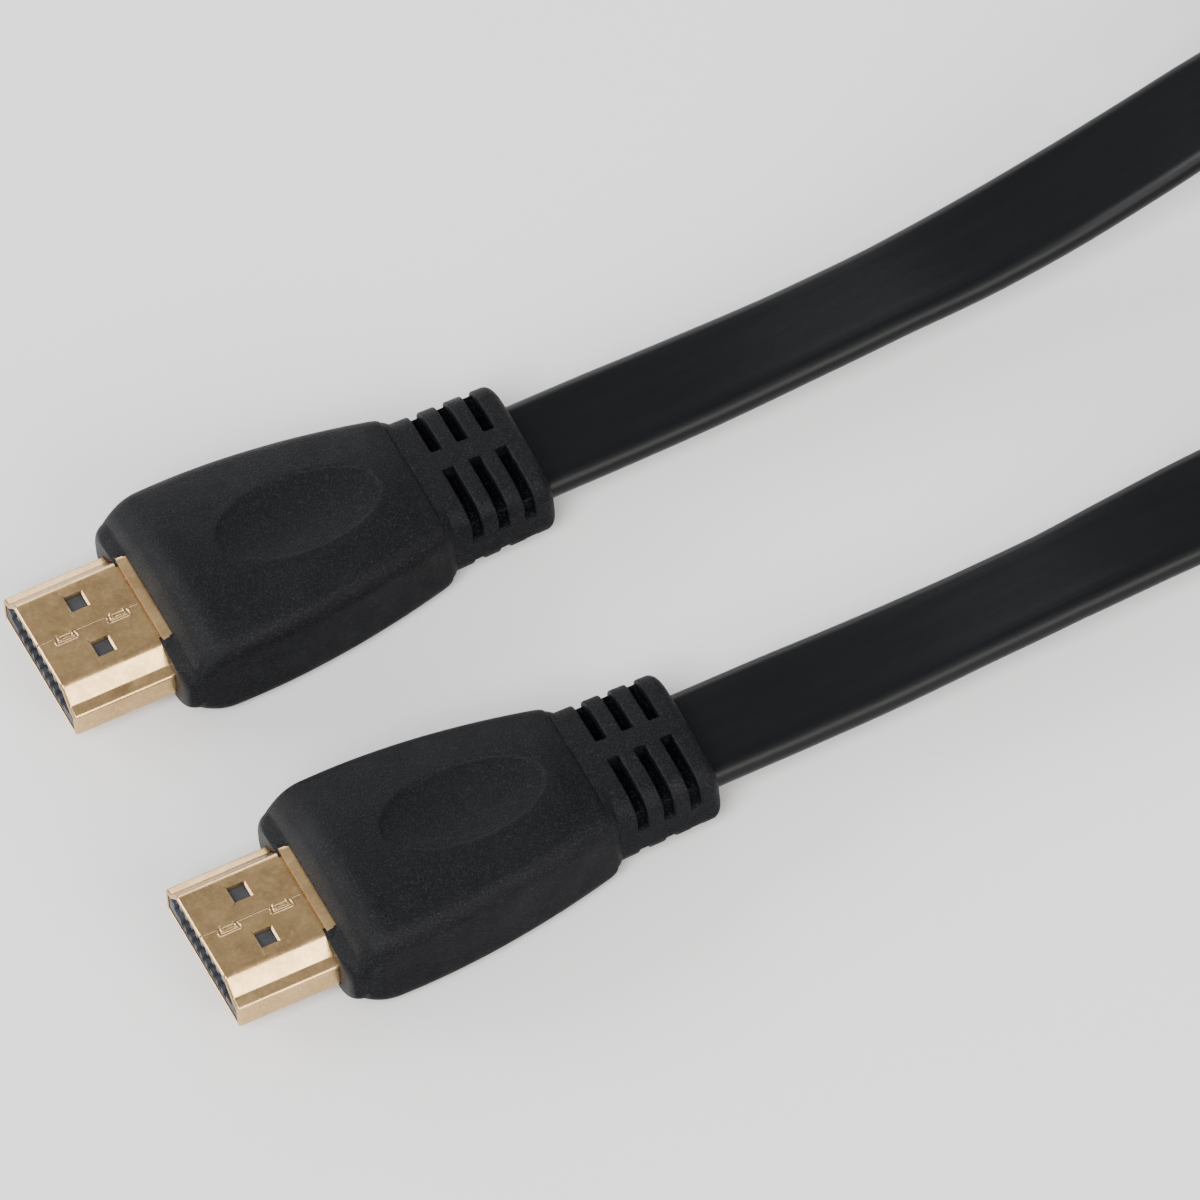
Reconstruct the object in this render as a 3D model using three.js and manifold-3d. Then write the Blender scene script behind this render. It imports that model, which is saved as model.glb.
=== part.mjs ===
import * as THREE from 'three';
import { mergeVertices } from 'three/addons/utils/BufferGeometryUtils.js';
import Module from 'manifold-3d';

// A flat video cable lying on the floor: two equal plugs side by side, and one flat cord
// between them whose spare length is wound into an oval coil. Sizes are millimetres.
// X runs from the plugs' mouths towards the cord, and Z is up. In a plug's own frame
// x = 0 is the mouth, y = 0 is the middle and z = 0 is the floor.

// Metal shell, narrow face up
const shellWidth = 13.9;
const shellHeight = 4.45;
const shellNarrowWidth = 9;
const shellShoulderWidth = 11.9;
const shellBevelDrop = 1.5;
const shellWallHeight = 2.6;
const sheet = 0.35;
const shellReach = 9.2;
const shellSeated = 7;
const shellCorner = 0.45;

// Square latch holes, two in the narrow face and two in the wide face
const latchHole = 1.55;
const latchFromMouth = 4.8;
const latchSpread = 5.15;

// Second can around the back of the shell, seen where the grip is notched over the narrow face
const collarFront = 9.4;
const collarLength = 8;
const notchDepth = 1.1;
const notchWidth = shellNarrowWidth + 0.6;

// Insulator in the mouth, and the slot for the socket's tongue
const insulatorRecess = 0.12;
const insulatorLength = 14;
const tongueSlotWidth = 11;
const tongueSlotHeight = 1.7;
const tongueSlotDepth = 8;

// Contacts
const contactsAbove = 10;
const contactsBelow = 9;
const contactPitch = 1;
const contactWidth = 0.4;
const contactThickness = 0.3;
const contactTail = 1.6;
const contactProud = 0.12;
const contactSetback = 0.6;
const noseRoomHeight = 0.65;
const noseRoomLength = 1.2;

// Grip of the overmold: a flat base, upright sides and a crowned top
const gripLength = 25.3;
const gripDepthBelow = 4.45;
const gripEdgeAbove = 4.45;
const gripCrown = 0.95;
const gripWidthFront = 18.9;
const gripWidthMost = 19.26;
const gripWidthBack = 14;
const gripFullestAt = 6.3;
const gripEdgeDrop = 0.4;
const gripCrownDrop = 0.15;
const gripEdgeRadius = 1.5;
const gripFrontCorner = 1.2;
const gripFrontTaper = 3.4;
const gripFrontTaperPower = 2.2;
const gripFrontTopDrop = 2.15;
const gripFrontCrownDrop = 0.25;
const gripFrontBottomRise = 1.6;
const gripBackRound = 0.8;
const gripBackCorner = 1.1;
const gripSidesBehindTop = 0.9;

// Oval thumb recess in the grip's top
const ovalLength = 14.9;
const ovalWidth = 7.9;
const ovalDepth = 0.6;
const ovalFromFront = 15;

// Strain relief of the overmold
const reliefLength = 10;
const reliefWidth = 12.85;
const reliefHeightFront = 8.1;
const reliefHeightBack = 7.3;
const reliefCrown = 0.15;
const reliefEdgeRadius = 2.2;
const reliefBackRound = 0.9;
const slotRows = 3;
const slotPitch = 2.4;
const slotWidth = 1;
const slotDepth = 1.6;
const slotSideDepth = 0.5;
const slotCoreRadius = 0.3;
const slotFromGrip = 2.8;
const topRibWidth = 2.1;
const sideBridgeAbove = 0.3;
const sideBridgeBelow = 2.4;

// Cord and its coil, which stands on its edge between the runs of the ties
const cordLength = 1500;
const cordWidth = 9.4;
const cordThickness = 2.4;
const coilPitch = 3.7;
const coilInnerRadius = 26;
const coilHalfTurns = 7;
const coilLeft = 130;
const coilCentreY = 12;
const coilMeetsA = 172;
const strandStep = 6;

// Ties round the coil's two long sides
const tieWidth = 4;
const tieThickness = 0.8;
const tieRoom = 0.2;
const tieAlong = 0.72;
const tieTailLength = 13;
const tieTailRadius = 1.3;

// Places and clearances
const plugSpacing = 33;
const plugStagger = 0.86;
const seatGap = 0.3;
const slipGap = 0.1;

const plugLength = shellReach + gripLength + reliefLength;
const plugMiddle = gripDepthBelow;
const shellBottom = plugMiddle - shellHeight / 2;
const shellLength = shellReach + shellSeated;
const collarBack = collarFront + collarLength;
const coilLift = tieThickness + tieRoom;

const wasm = await Module();
wasm.setup();

const gold = new THREE.MeshStandardMaterial({ color: '#c9a56a', roughness: 0.32, metalness: 1 });
const contactGold = new THREE.MeshStandardMaterial({ color: '#d8b25c', roughness: 0.25, metalness: 1 });
const darkPlastic = new THREE.MeshStandardMaterial({ color: '#17181a', roughness: 0.55, metalness: 0 });
const overmoldPlastic = new THREE.MeshStandardMaterial({ color: '#26292d', roughness: 0.72, metalness: 0 });
const cordPlastic = new THREE.MeshStandardMaterial({ color: '#1e2125', roughness: 0.5, metalness: 0 });
const tiePlastic = new THREE.MeshStandardMaterial({ color: '#141518', roughness: 0.6, metalness: 0 });

// Turns an outline's own x, y and depth into the part's y, z and x
const outlineToPart = new THREE.Matrix4().makeBasis(
  new THREE.Vector3(0, 1, 0),
  new THREE.Vector3(0, 0, 1),
  new THREE.Vector3(1, 0, 0),
);

function solidOf(geometry) {
  const bare = geometry.index ? geometry.toNonIndexed() : geometry.clone();
  bare.deleteAttribute('normal');
  bare.deleteAttribute('uv');
  const merged = mergeVertices(bare, 1e-5);
  return new wasm.Manifold(new wasm.Mesh({
    numProp: 3,
    vertProperties: new Float32Array(merged.attributes.position.array),
    triVerts: new Uint32Array(merged.index.array),
  }));
}

function geometryOf(solid) {
  const mesh = solid.getMesh();
  const geometry = new THREE.BufferGeometry();
  geometry.setAttribute('position', new THREE.BufferAttribute(mesh.vertProperties, 3));
  geometry.setIndex(new THREE.BufferAttribute(mesh.triVerts, 1));
  const flat = geometry.toNonIndexed();
  flat.computeVertexNormals();
  return flat;
}

function prismAlongX(outline, from, to, curveSegments = 3) {
  const prism = new THREE.ExtrudeGeometry(outline, { depth: to - from, bevelEnabled: false, curveSegments });
  return prism.applyMatrix4(outlineToPart).translate(from, 0, 0);
}

function block(x0, x1, y0, y1, z0, z1) {
  const box = new THREE.BoxGeometry(x1 - x0, y1 - y0, z1 - z0);
  return solidOf(box.translate((x0 + x1) / 2, (y0 + y1) / 2, (z0 + z1) / 2));
}

// The shell's section drawn inwards by inset: a wide base, a ledge, a bevel and a narrow top
function shellOutline(inset) {
  const base = shellBottom + inset;
  const top = shellBottom + shellHeight - inset;
  const wide = shellWidth / 2 - inset;
  const shoulder = shellShoulderWidth / 2 - inset;
  const narrow = shellNarrowWidth / 2 - inset / 2;
  const ledge = shellBottom + shellWallHeight - inset;
  const bevelFoot = shellBottom + shellHeight - shellBevelDrop - inset;
  const corner = Math.max(shellCorner - inset / 2, 0.1);
  const outline = new THREE.Shape();
  outline.moveTo(-wide + corner, base);
  outline.lineTo(wide - corner, base);
  outline.absarc(wide - corner, base + corner, corner, -Math.PI / 2, 0);
  outline.lineTo(wide, ledge);
  outline.lineTo(shoulder, ledge);
  outline.lineTo(shoulder, bevelFoot);
  outline.lineTo(narrow, top);
  outline.lineTo(-narrow, top);
  outline.lineTo(-shoulder, bevelFoot);
  outline.lineTo(-shoulder, ledge);
  outline.lineTo(-wide, ledge);
  outline.lineTo(-wide, base + corner);
  outline.absarc(-wide + corner, base + corner, corner, Math.PI, Math.PI * 1.5);
  return outline;
}

function shellSolid(inset, from, to) {
  return solidOf(prismAlongX(shellOutline(inset), from, to));
}

function makeShell() {
  const hollow = shellSolid(sheet, -1, shellLength + 1);
  let shell = shellSolid(0, 0, shellLength).subtract(hollow);
  for (const side of [-1, 1]) {
    const y = side * latchSpread / 2;
    const half = latchHole / 2;
    const column = [latchFromMouth - half, latchFromMouth + half, y - half, y + half];
    const upper = shellBottom + shellHeight;
    shell = shell.subtract(block(...column, upper - sheet * 2, upper + 1));
    shell = shell.subtract(block(...column, shellBottom - 1, shellBottom + sheet * 2));
  }
  return geometryOf(shell);
}

function makeCollar() {
  const hollow = shellSolid(-slipGap, collarFront - 1, collarBack + 1);
  return geometryOf(shellSolid(-slipGap - sheet, collarFront, collarBack).subtract(hollow));
}

// Where the contacts' middles lie across the plug, and which face of the slot they are on
function contactPlaces() {
  const places = [];
  for (const [count, side] of [[contactsAbove, 1], [contactsBelow, -1]]) {
    for (let i = 0; i < count; i++) {
      places.push({ y: (i - (count - 1) / 2) * contactPitch, side });
    }
  }
  return places;
}

const insulatorBack = insulatorRecess + insulatorLength;
const tongueSlotEnd = insulatorRecess + tongueSlotDepth;
const contactInner = tongueSlotHeight / 2 - contactProud;
const contactOuter = contactInner + contactThickness;

function makeInsulator() {
  let body = shellSolid(sheet + slipGap, insulatorRecess, insulatorBack);
  const halfSlot = tongueSlotWidth / 2;
  body = body.subtract(block(
    insulatorRecess - 1, tongueSlotEnd, -halfSlot, halfSlot,
    plugMiddle - tongueSlotHeight / 2, plugMiddle + tongueSlotHeight / 2,
  ));
  const half = contactWidth / 2 + slipGap;
  for (const { y, side } of contactPlaces()) {
    const near = plugMiddle + side * (contactInner - slipGap);
    const far = plugMiddle + side * (contactOuter + slipGap);
    const from = insulatorRecess + contactSetback - slipGap;
    body = body.subtract(block(
      from, insulatorBack + 1, y - half, y + half, Math.min(near, far), Math.max(near, far),
    ));
    const nose = side * (tongueSlotHeight / 2 + noseRoomHeight);
    body = body.subtract(block(
      insulatorRecess - 1, insulatorRecess + noseRoomLength, y - half, y + half,
      plugMiddle + Math.min(0, nose), plugMiddle + Math.max(0, nose),
    ));
  }
  return geometryOf(body);
}

// A strip whose front end is bent a little away from the slot
function makeContact({ y, side }) {
  const front = insulatorRecess + contactSetback;
  const back = insulatorBack + contactTail;
  const near = plugMiddle + side * contactInner;
  const far = plugMiddle + side * contactOuter;
  const lead = plugMiddle + side * (contactInner + contactProud);
  const outline = new THREE.Shape();
  outline.moveTo(front, far);
  outline.lineTo(back, far);
  outline.lineTo(back, near);
  outline.lineTo(front + contactWidth * 2, near);
  outline.lineTo(front, lead);
  outline.closePath();
  const strip = new THREE.ExtrudeGeometry(outline, { depth: contactWidth, bevelEnabled: false });
  return strip.rotateX(Math.PI / 2).translate(0, y + contactWidth / 2, 0);
}

// Half width of the grip along its length: fullest near the front, narrow at the back
function gripHalfWidth(along) {
  if (along < gripFullestAt) {
    const rise = 1 - (1 - along / gripFullestAt) ** 2;
    return (gripWidthFront + (gripWidthMost - gripWidthFront) * rise) / 2;
  }
  const share = (along - gripFullestAt) / (gripLength - gripFullestAt);
  return (gripWidthMost - (gripWidthMost - gripWidthBack) * share ** 1.87) / 2;
}

// How far a rounded end draws the outline in, at a distance from that end
function endRounding(distance, radius) {
  if (distance >= radius) {
    return 0;
  }
  return radius - Math.sqrt(radius ** 2 - (radius - distance) ** 2);
}

// One section across the overmold: corner arcs, with the crown between the upper two
function sectionPoints({ halfWidth, low, edge, crown, radius }) {
  const points = [];
  const middle = halfWidth - radius;
  const corner = (side, z, from) => {
    for (let step = 0; step <= 3; step++) {
      const angle = from + step * Math.PI / 6;
      points.push([side * middle + radius * Math.cos(angle), z + radius * Math.sin(angle)]);
    }
  };
  corner(1, edge - radius, 0);
  for (const share of [0.7, 0.35, 0, -0.35, -0.7]) {
    points.push([share * middle, edge + crown * (1 - share ** 2)]);
  }
  corner(-1, edge - radius, Math.PI / 2);
  corner(-1, low + radius, Math.PI);
  corner(1, low + radius, Math.PI * 1.5);
  return points;
}

// A solid through a row of sections: an even prism first, then each ring takes its section
function loft(stations) {
  const sides = sectionPoints(stations[0]).length;
  const ring = [];
  for (let i = 0; i < sides; i++) {
    const angle = i * 2 * Math.PI / sides;
    ring.push(new THREE.Vector2(Math.cos(angle), Math.sin(angle)));
  }
  const steps = stations.length - 1;
  const body = new THREE.ExtrudeGeometry(new THREE.Shape(ring), { depth: steps, steps, bevelEnabled: false });
  const sections = stations.map(sectionPoints);
  const position = body.attributes.position;
  for (let i = 0; i < position.count; i++) {
    const turn = Math.atan2(position.getY(i), position.getX(i)) / (2 * Math.PI);
    const spot = Math.round((turn + 1) * sides) % sides;
    const row = Math.round(position.getZ(i));
    const [y, z] = sections[row][spot];
    position.setXYZ(i, stations[row].x, y, z);
  }
  return solidOf(body);
}

// Half width with the upright corners rounded: the sides reach farther back than the top
function roundedHalfWidth(along) {
  const front = endRounding(along, gripFrontCorner);
  const back = endRounding(gripLength + gripSidesBehindTop - along, gripBackCorner);
  return gripHalfWidth(along) - front - back;
}

// The grip is lower at its front, level with the collar, and swells to its full height
function gripStation(along) {
  const inset = endRounding(gripLength - along, gripBackRound);
  const back = Math.max(0, (along - gripFullestAt) / (gripLength - gripFullestAt));
  const left = THREE.MathUtils.clamp(1 - (along - notchDepth) / gripFrontTaper, 0, 1);
  const front = left ** gripFrontTaperPower;
  return {
    x: shellReach + along,
    halfWidth: roundedHalfWidth(along),
    low: inset * 0.6 + gripFrontBottomRise * front,
    edge: plugMiddle + gripEdgeAbove - gripEdgeDrop * back ** 2 - gripFrontTopDrop * front - inset,
    crown: gripCrown - gripCrownDrop * back - gripFrontCrownDrop * front,
    radius: gripEdgeRadius,
  };
}

function reliefStation(along) {
  const inset = endRounding(reliefLength - along, reliefBackRound);
  const height = THREE.MathUtils.lerp(reliefHeightFront, reliefHeightBack, along / reliefLength);
  const sides = along < gripSidesBehindTop ? roundedHalfWidth(gripLength + along) : 0;
  return {
    x: shellReach + gripLength + along,
    halfWidth: Math.max(reliefWidth / 2 - inset, sides),
    low: plugMiddle - height / 2 + inset,
    edge: plugMiddle + height / 2 - reliefCrown - inset,
    crown: reliefCrown,
    radius: reliefEdgeRadius,
  };
}

function overmoldStations() {
  const stations = [];
  const front = gripFrontCorner;
  for (const along of [0, front * 0.13, front * 0.45, notchDepth]) {
    stations.push(gripStation(along));
  }
  for (const share of [0.12, 0.28, 0.5, 0.75, 1]) {
    stations.push(gripStation(notchDepth + gripFrontTaper * share));
  }
  for (let share = 0; share < 1; share += 1 / 7) {
    stations.push(gripStation(THREE.MathUtils.lerp(gripFullestAt, gripLength - gripBackRound, share)));
  }
  stations.push(gripStation(gripLength - gripBackRound), gripStation(gripLength - gripBackRound * 0.4));
  stations.push(gripStation(gripLength));
  for (const along of [0.05, 0.5, 0.9, 1]) {
    stations.push(reliefStation(gripSidesBehindTop * along));
  }
  for (const left of [reliefBackRound, reliefBackRound * 0.5, reliefBackRound * 0.13, 0]) {
    stations.push(reliefStation(reliefLength - left));
  }
  return stations;
}

// The grooves that let the strain relief bend, cut round its four corners only
function reliefSlots() {
  const out = reliefWidth;
  const height = (reliefHeightFront + reliefHeightBack) / 2;
  const inner = new THREE.Shape();
  const halfWidth = reliefWidth / 2 - slotSideDepth;
  const halfHeight = height / 2 - slotDepth;
  const radius = slotCoreRadius;
  inner.absarc(halfWidth - radius, plugMiddle + halfHeight - radius, radius, 0, Math.PI / 2);
  inner.absarc(radius - halfWidth, plugMiddle + halfHeight - radius, radius, Math.PI / 2, Math.PI);
  inner.absarc(radius - halfWidth, plugMiddle - halfHeight + radius, radius, Math.PI, Math.PI * 1.5);
  inner.absarc(halfWidth - radius, plugMiddle - halfHeight + radius, radius, Math.PI * 1.5, Math.PI * 2);
  inner.closePath();
  const cuts = [];
  for (let row = 0; row < slotRows; row++) {
    const from = shellReach + gripLength + slotFromGrip + row * slotPitch - slotWidth / 2;
    const to = from + slotWidth;
    cuts.push(block(from, to, -out, out, plugMiddle - out, plugMiddle + out)
      .subtract(solidOf(prismAlongX(inner, from - 1, to + 1, 1)))
      .subtract(block(from - 1, to + 1, -topRibWidth / 2, topRibWidth / 2, -out * 2, out * 2))
      .subtract(block(from - 1, to + 1, -out * 2, out * 2, plugMiddle - sideBridgeBelow, plugMiddle + sideBridgeAbove)));
  }
  return cuts;
}

// A shallow dish with an oval rim, sunk into the crown of the grip
function thumbRecess() {
  const top = plugMiddle + gripEdgeAbove + gripCrown;
  const dish = new THREE.SphereGeometry(1, 28, 12);
  dish.rotateX(Math.PI / 2).scale(ovalLength / 2, ovalWidth / 2, ovalDepth + gripCrownDrop * 2);
  return solidOf(dish.translate(shellReach + ovalFromFront, 0, top - gripCrownDrop * 2));
}

function makeOvermold() {
  let body = loft(overmoldStations());
  const pocket = -slipGap * 2 - sheet;
  const notchHalf = notchWidth / 2;
  const cuts = [
    shellSolid(pocket, shellReach - 1, collarBack + seatGap),
    block(shellReach - 1, shellReach + notchDepth, -notchHalf, notchHalf, plugMiddle, plugMiddle * 3),
    thumbRecess(),
    ...reliefSlots(),
  ];
  for (const cut of cuts) {
    body = body.subtract(cut);
  }
  return geometryOf(body);
}

// Routes of the two free stretches, from each plug to the coil: x, y, z and the roll in
// degrees of the cord's width out of the level
const strandARoute = [
  [22.68, 16.5, 4.3, 5],
  [30, 16.5, 4.3, 5],
  [38, 16.5, 4.3, 2],
  [47, 16.5, 4.6, -3],
  [56, 16.6, 5.1, -4],
  [64, 16.8, 5.7, 2],
  [72, 17.1, 6.8, 5],
  [80, 17.3, 8.6, 4],
  [88, 17.4, 10.8, 2],
  [95, 17.4, 12.2, 0],
  [102, 17.6, 12.5, 2],
  [110, 18.6, 11.4, 14],
  [118, 21, 9.4, 36],
  [127, 25.4, 7.3, 64],
  [137, 30.8, 6.1, 83],
  [148, 35.4, 5.7, 90],
  [160, 37.6, 5.7, 90],
  [coilMeetsA, 38, 5.7, 90],
];
const strandBRoute = [
  [21.82, -16.5, 4.3, 5],
  [30, -16.5, 4.3, 5],
  [38, -16.5, 4.3, 2],
  [47, -16.4, 4.5, -3],
  [56, -16.3, 4.9, -4],
  [64, -16.1, 5.4, 2],
  [71, -16.1, 5.9, 9],
  [79, -16.5, 6.2, 25],
  [88, -17.8, 6.2, 47],
  [98, -20.2, 6.0, 69],
  [108, -23.1, 5.8, 84],
  [119, -25.8, 5.7, 90],
  [coilLeft, -26.95, 5.7, 90],
];

// A smooth curve through the route, with the roll followed along it
function routeCurve(route) {
  const points = route.map(([x, y, z]) => new THREE.Vector3(x, y, z));
  const curve = new THREE.CatmullRomCurve3(points, false, 'centripetal');
  curve.arcLengthDivisions = 400;
  const rollAt = (t) => {
    const place = Math.min(t, 1) * (route.length - 1);
    const before = Math.min(Math.floor(place), route.length - 2);
    return THREE.MathUtils.lerp(route[before][3], route[before + 1][3], place - before);
  };
  return { curve, rollAt };
}

const routeA = routeCurve(strandARoute);
const routeB = routeCurve(strandBRoute);

// The coil is straight runs joined by half circles. Each half circle is half a pitch wider.
function runRadius(run) {
  return coilInnerRadius + run * coilPitch / 2;
}

function endRadius(run) {
  return (runRadius(run) + runRadius(run + 1)) / 2;
}

function coilStraightLength() {
  let bends = 0;
  for (let run = 0; run < coilHalfTurns; run++) {
    bends += Math.PI * endRadius(run);
  }
  const free = routeA.curve.getLength() + routeB.curve.getLength();
  return (cordLength - free - bends + coilMeetsA - coilLeft) / (coilHalfTurns + 1);
}

const coilStraight = coilStraightLength();
const coilRight = coilLeft + coilStraight;

// The cord's section: a flat band with round edges
function cordSection() {
  const half = cordThickness / 2;
  const reach = cordWidth / 2 - half;
  const outline = new THREE.Shape();
  outline.absarc(reach, 0, half, -Math.PI / 2, Math.PI / 2);
  outline.absarc(-reach, 0, half, Math.PI / 2, Math.PI * 1.5);
  outline.closePath();
  return outline;
}

// The section carried along the route: drawn straight, then each ring is set on the curve
function makeStrand({ curve, rollAt }) {
  const length = curve.getLength();
  const steps = Math.round(length / strandStep);
  const strand = new THREE.ExtrudeGeometry(cordSection(), {
    depth: steps, steps, bevelEnabled: false, curveSegments: 2,
  });
  const up = new THREE.Vector3(0, 0, 1);
  const rings = [];
  for (let i = 0; i <= steps; i++) {
    const share = THREE.MathUtils.lerp(seatGap / length, 1 - seatGap / length, i / steps);
    const t = curve.getUtoTmapping(share);
    const ahead = curve.getTangent(t);
    const level = new THREE.Vector3().crossVectors(up, ahead).normalize();
    const rise = new THREE.Vector3().crossVectors(ahead, level);
    const roll = THREE.MathUtils.degToRad(rollAt(t));
    const across = level.clone().multiplyScalar(Math.cos(roll)).addScaledVector(rise, Math.sin(roll));
    const out = rise.multiplyScalar(Math.cos(roll)).addScaledVector(level, -Math.sin(roll));
    rings.push({ middle: curve.getPoint(t), across, out });
  }
  const position = strand.attributes.position;
  const spot = new THREE.Vector3();
  for (let i = 0; i < position.count; i++) {
    const { middle, across, out } = rings[Math.round(position.getZ(i))];
    spot.copy(middle).addScaledVector(across, position.getX(i)).addScaledVector(out, position.getY(i));
    position.setXYZ(i, spot.x, spot.y, spot.z);
  }
  return geometryOf(solidOf(strand));
}

// Half a circle round one end of the coil, from y = from to y = to
function coilEnd(outline, x, from, to) {
  const facing = x === coilLeft ? Math.PI : 0;
  const start = from < to ? -Math.PI / 2 : Math.PI / 2;
  const turn = Math.cos(facing) * Math.sign(to - from) > 0;
  outline.absarc(x, (from + to) / 2, Math.abs(to - from) / 2, start, -start, !turn);
}

function makeCoil() {
  const half = cordThickness / 2;
  const last = coilHalfTurns;
  const above = (radius) => coilCentreY + radius;
  const below = (radius) => coilCentreY - radius;
  const outer = new THREE.Shape();
  outer.moveTo(coilRight, above(runRadius(last - 1) + half));
  outer.lineTo(coilLeft, above(runRadius(last - 1) + half));
  coilEnd(outer, coilLeft, above(runRadius(last - 1) + half), below(runRadius(last - 2) + half));
  outer.lineTo(coilLeft, below(runRadius(last) + half));
  outer.lineTo(coilRight, below(runRadius(last) + half));
  coilEnd(outer, coilRight, below(runRadius(last) + half), above(runRadius(last - 1) + half));
  const inner = new THREE.Path();
  inner.moveTo(coilRight, above(runRadius(0) - half));
  inner.lineTo(coilMeetsA, above(runRadius(0) - half));
  inner.lineTo(coilMeetsA, above(runRadius(2) - half));
  inner.lineTo(coilLeft, above(runRadius(2) - half));
  coilEnd(inner, coilLeft, above(runRadius(2) - half), below(runRadius(1) - half));
  inner.lineTo(coilRight, below(runRadius(1) - half));
  coilEnd(inner, coilRight, below(runRadius(1) - half), above(runRadius(0) - half));
  outer.holes.push(inner);
  const coil = new THREE.ExtrudeGeometry(outer, {
    depth: cordWidth, bevelEnabled: false, curveSegments: 12,
  });
  return coil.translate(0, 0, coilLift);
}

// A flat ribbon round one bundle of runs, its ends twisted into a tail on top
function makeTie(low, high) {
  const top = coilLift + cordWidth + tieRoom + tieThickness;
  const x = coilLeft + coilStraight * tieAlong;
  const bundle = [low - tieRoom, high + tieRoom, tieThickness, top - tieThickness];
  const ring = block(x - tieWidth / 2, x + tieWidth / 2, bundle[0] - tieThickness,
    bundle[1] + tieThickness, 0, top)
    .subtract(block(x - tieWidth, x + tieWidth, ...bundle));
  const tail = new THREE.CylinderGeometry(tieTailRadius, tieTailRadius, tieTailLength, 8);
  tail.rotateZ(Math.PI / 2).rotateX(Math.PI / 8);
  tail.translate(x + tieTailLength / 2 - tieWidth / 2, (low + high) / 2, top + tieTailRadius * 0.8);
  return geometryOf(ring.add(solidOf(tail)));
}

const cable = new THREE.Group();

function addPiece(group, name, geometry, material) {
  const mesh = new THREE.Mesh(geometry, material);
  mesh.name = name;
  group.add(mesh);
}

function addPlug(name, x, y) {
  const plug = new THREE.Group();
  plug.position.set(x - plugLength / 2, y, 0);
  addPiece(plug, `${name}_shell`, makeShell(), gold);
  addPiece(plug, `${name}_collar`, makeCollar(), gold);
  addPiece(plug, `${name}_insulator`, makeInsulator(), darkPlastic);
  contactPlaces().forEach((place, i) => {
    const number = String(i + 1).padStart(2, '0');
    addPiece(plug, `${name}_contact_${number}`, makeContact(place), contactGold);
  });
  addPiece(plug, `${name}_overmold`, makeOvermold(), overmoldPlastic);
  cable.add(plug);
}

function addCord() {
  const half = cordThickness / 2;
  const last = coilHalfTurns;
  addPiece(cable, 'cord_strand_a', makeStrand(routeA), cordPlastic);
  addPiece(cable, 'cord_strand_b', makeStrand(routeB), cordPlastic);
  addPiece(cable, 'cord_coil', makeCoil(), cordPlastic);
  const farSide = [coilCentreY + runRadius(0) - half, coilCentreY + runRadius(last - 1) + half];
  const nearSide = [coilCentreY - runRadius(last) - half, coilCentreY - runRadius(1) + half];
  addPiece(cable, 'tie_a', makeTie(...farSide), tiePlastic);
  addPiece(cable, 'tie_b', makeTie(...nearSide), tiePlastic);
}

addPlug('plug_a', plugStagger / 2, plugSpacing / 2);
addPlug('plug_b', -plugStagger / 2, -plugSpacing / 2);
addCord();

export default cable;
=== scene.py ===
import math

import bmesh
import bpy
import numpy as np
from mathutils import Matrix, Vector


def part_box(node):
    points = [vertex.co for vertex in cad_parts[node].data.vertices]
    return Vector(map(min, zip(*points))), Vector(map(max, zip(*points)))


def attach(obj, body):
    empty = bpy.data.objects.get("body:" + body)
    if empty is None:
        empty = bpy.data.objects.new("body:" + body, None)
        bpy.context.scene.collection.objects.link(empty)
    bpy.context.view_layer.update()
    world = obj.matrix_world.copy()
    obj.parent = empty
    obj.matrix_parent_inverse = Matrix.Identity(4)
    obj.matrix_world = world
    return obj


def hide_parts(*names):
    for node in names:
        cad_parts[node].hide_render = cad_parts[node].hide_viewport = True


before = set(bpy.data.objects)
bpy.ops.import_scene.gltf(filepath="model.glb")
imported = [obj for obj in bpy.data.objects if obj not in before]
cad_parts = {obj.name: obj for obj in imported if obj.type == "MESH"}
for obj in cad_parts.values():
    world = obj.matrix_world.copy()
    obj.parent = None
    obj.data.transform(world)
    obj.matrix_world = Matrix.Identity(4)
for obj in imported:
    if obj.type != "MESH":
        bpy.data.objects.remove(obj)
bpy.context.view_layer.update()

mm = 0.001

# camera

view = {
    "azimuth": -20.95,        # degrees round from straight in front of the row
    "elevation": 53.72,
    "roll": -6.1,
    "target": (21.68, 0.02, 4.45),   # mm, what the middle of the picture looks at
    "distance": 3000,         # mm
    "widthSeen": 98.85,       # mm across the whole picture
    "sensor": 36,             # mm
    "clip": (0.05, 50),       # metres, the nearest and the farthest thing drawn
}


def makeCamera():
    turn, lift, roll = (math.radians(view[k]) for k in ("azimuth", "elevation", "roll"))
    right = Vector((math.cos(turn), math.sin(turn), 0))
    back = Vector((math.cos(lift) * math.sin(turn), -math.cos(lift) * math.cos(turn),
                   math.sin(lift)))
    up = back.cross(right)
    rolledRight = right * math.cos(roll) + up * math.sin(roll)
    rolledUp = up * math.cos(roll) - right * math.sin(roll)
    data = bpy.data.cameras.new("camera")
    data.sensor_width = view["sensor"]
    data.lens = view["sensor"] * view["distance"] / view["widthSeen"]
    data.clip_start, data.clip_end = view["clip"]
    camera = bpy.data.objects.new("camera", data)
    bpy.context.scene.collection.objects.link(camera)
    place = Vector(view["target"]) * mm + back * view["distance"] * mm
    axes = Matrix((rolledRight, rolledUp, back)).transposed().to_4x4()
    camera.matrix_world = Matrix.Translation(place) @ axes
    bpy.context.scene.camera = camera


makeCamera()
print("camera: done")

# shader helpers


def addNode(tree, kind, settings=None, **links):
    # a link goes by its socket's name, or as i0, i1 ... by its socket's number
    node = tree.nodes.new(kind)
    for name, value in (settings or {}).items():
        setattr(node, name, value)
    for name, value in links.items():
        byNumber = name[0] == "i" and name[1:].isdigit()
        socket = node.inputs[int(name[1:]) if byNumber else name.replace("_", " ")]
        if isinstance(value, bpy.types.NodeSocket):
            tree.links.new(value, socket)
        else:
            socket.default_value = value
    return node


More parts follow.
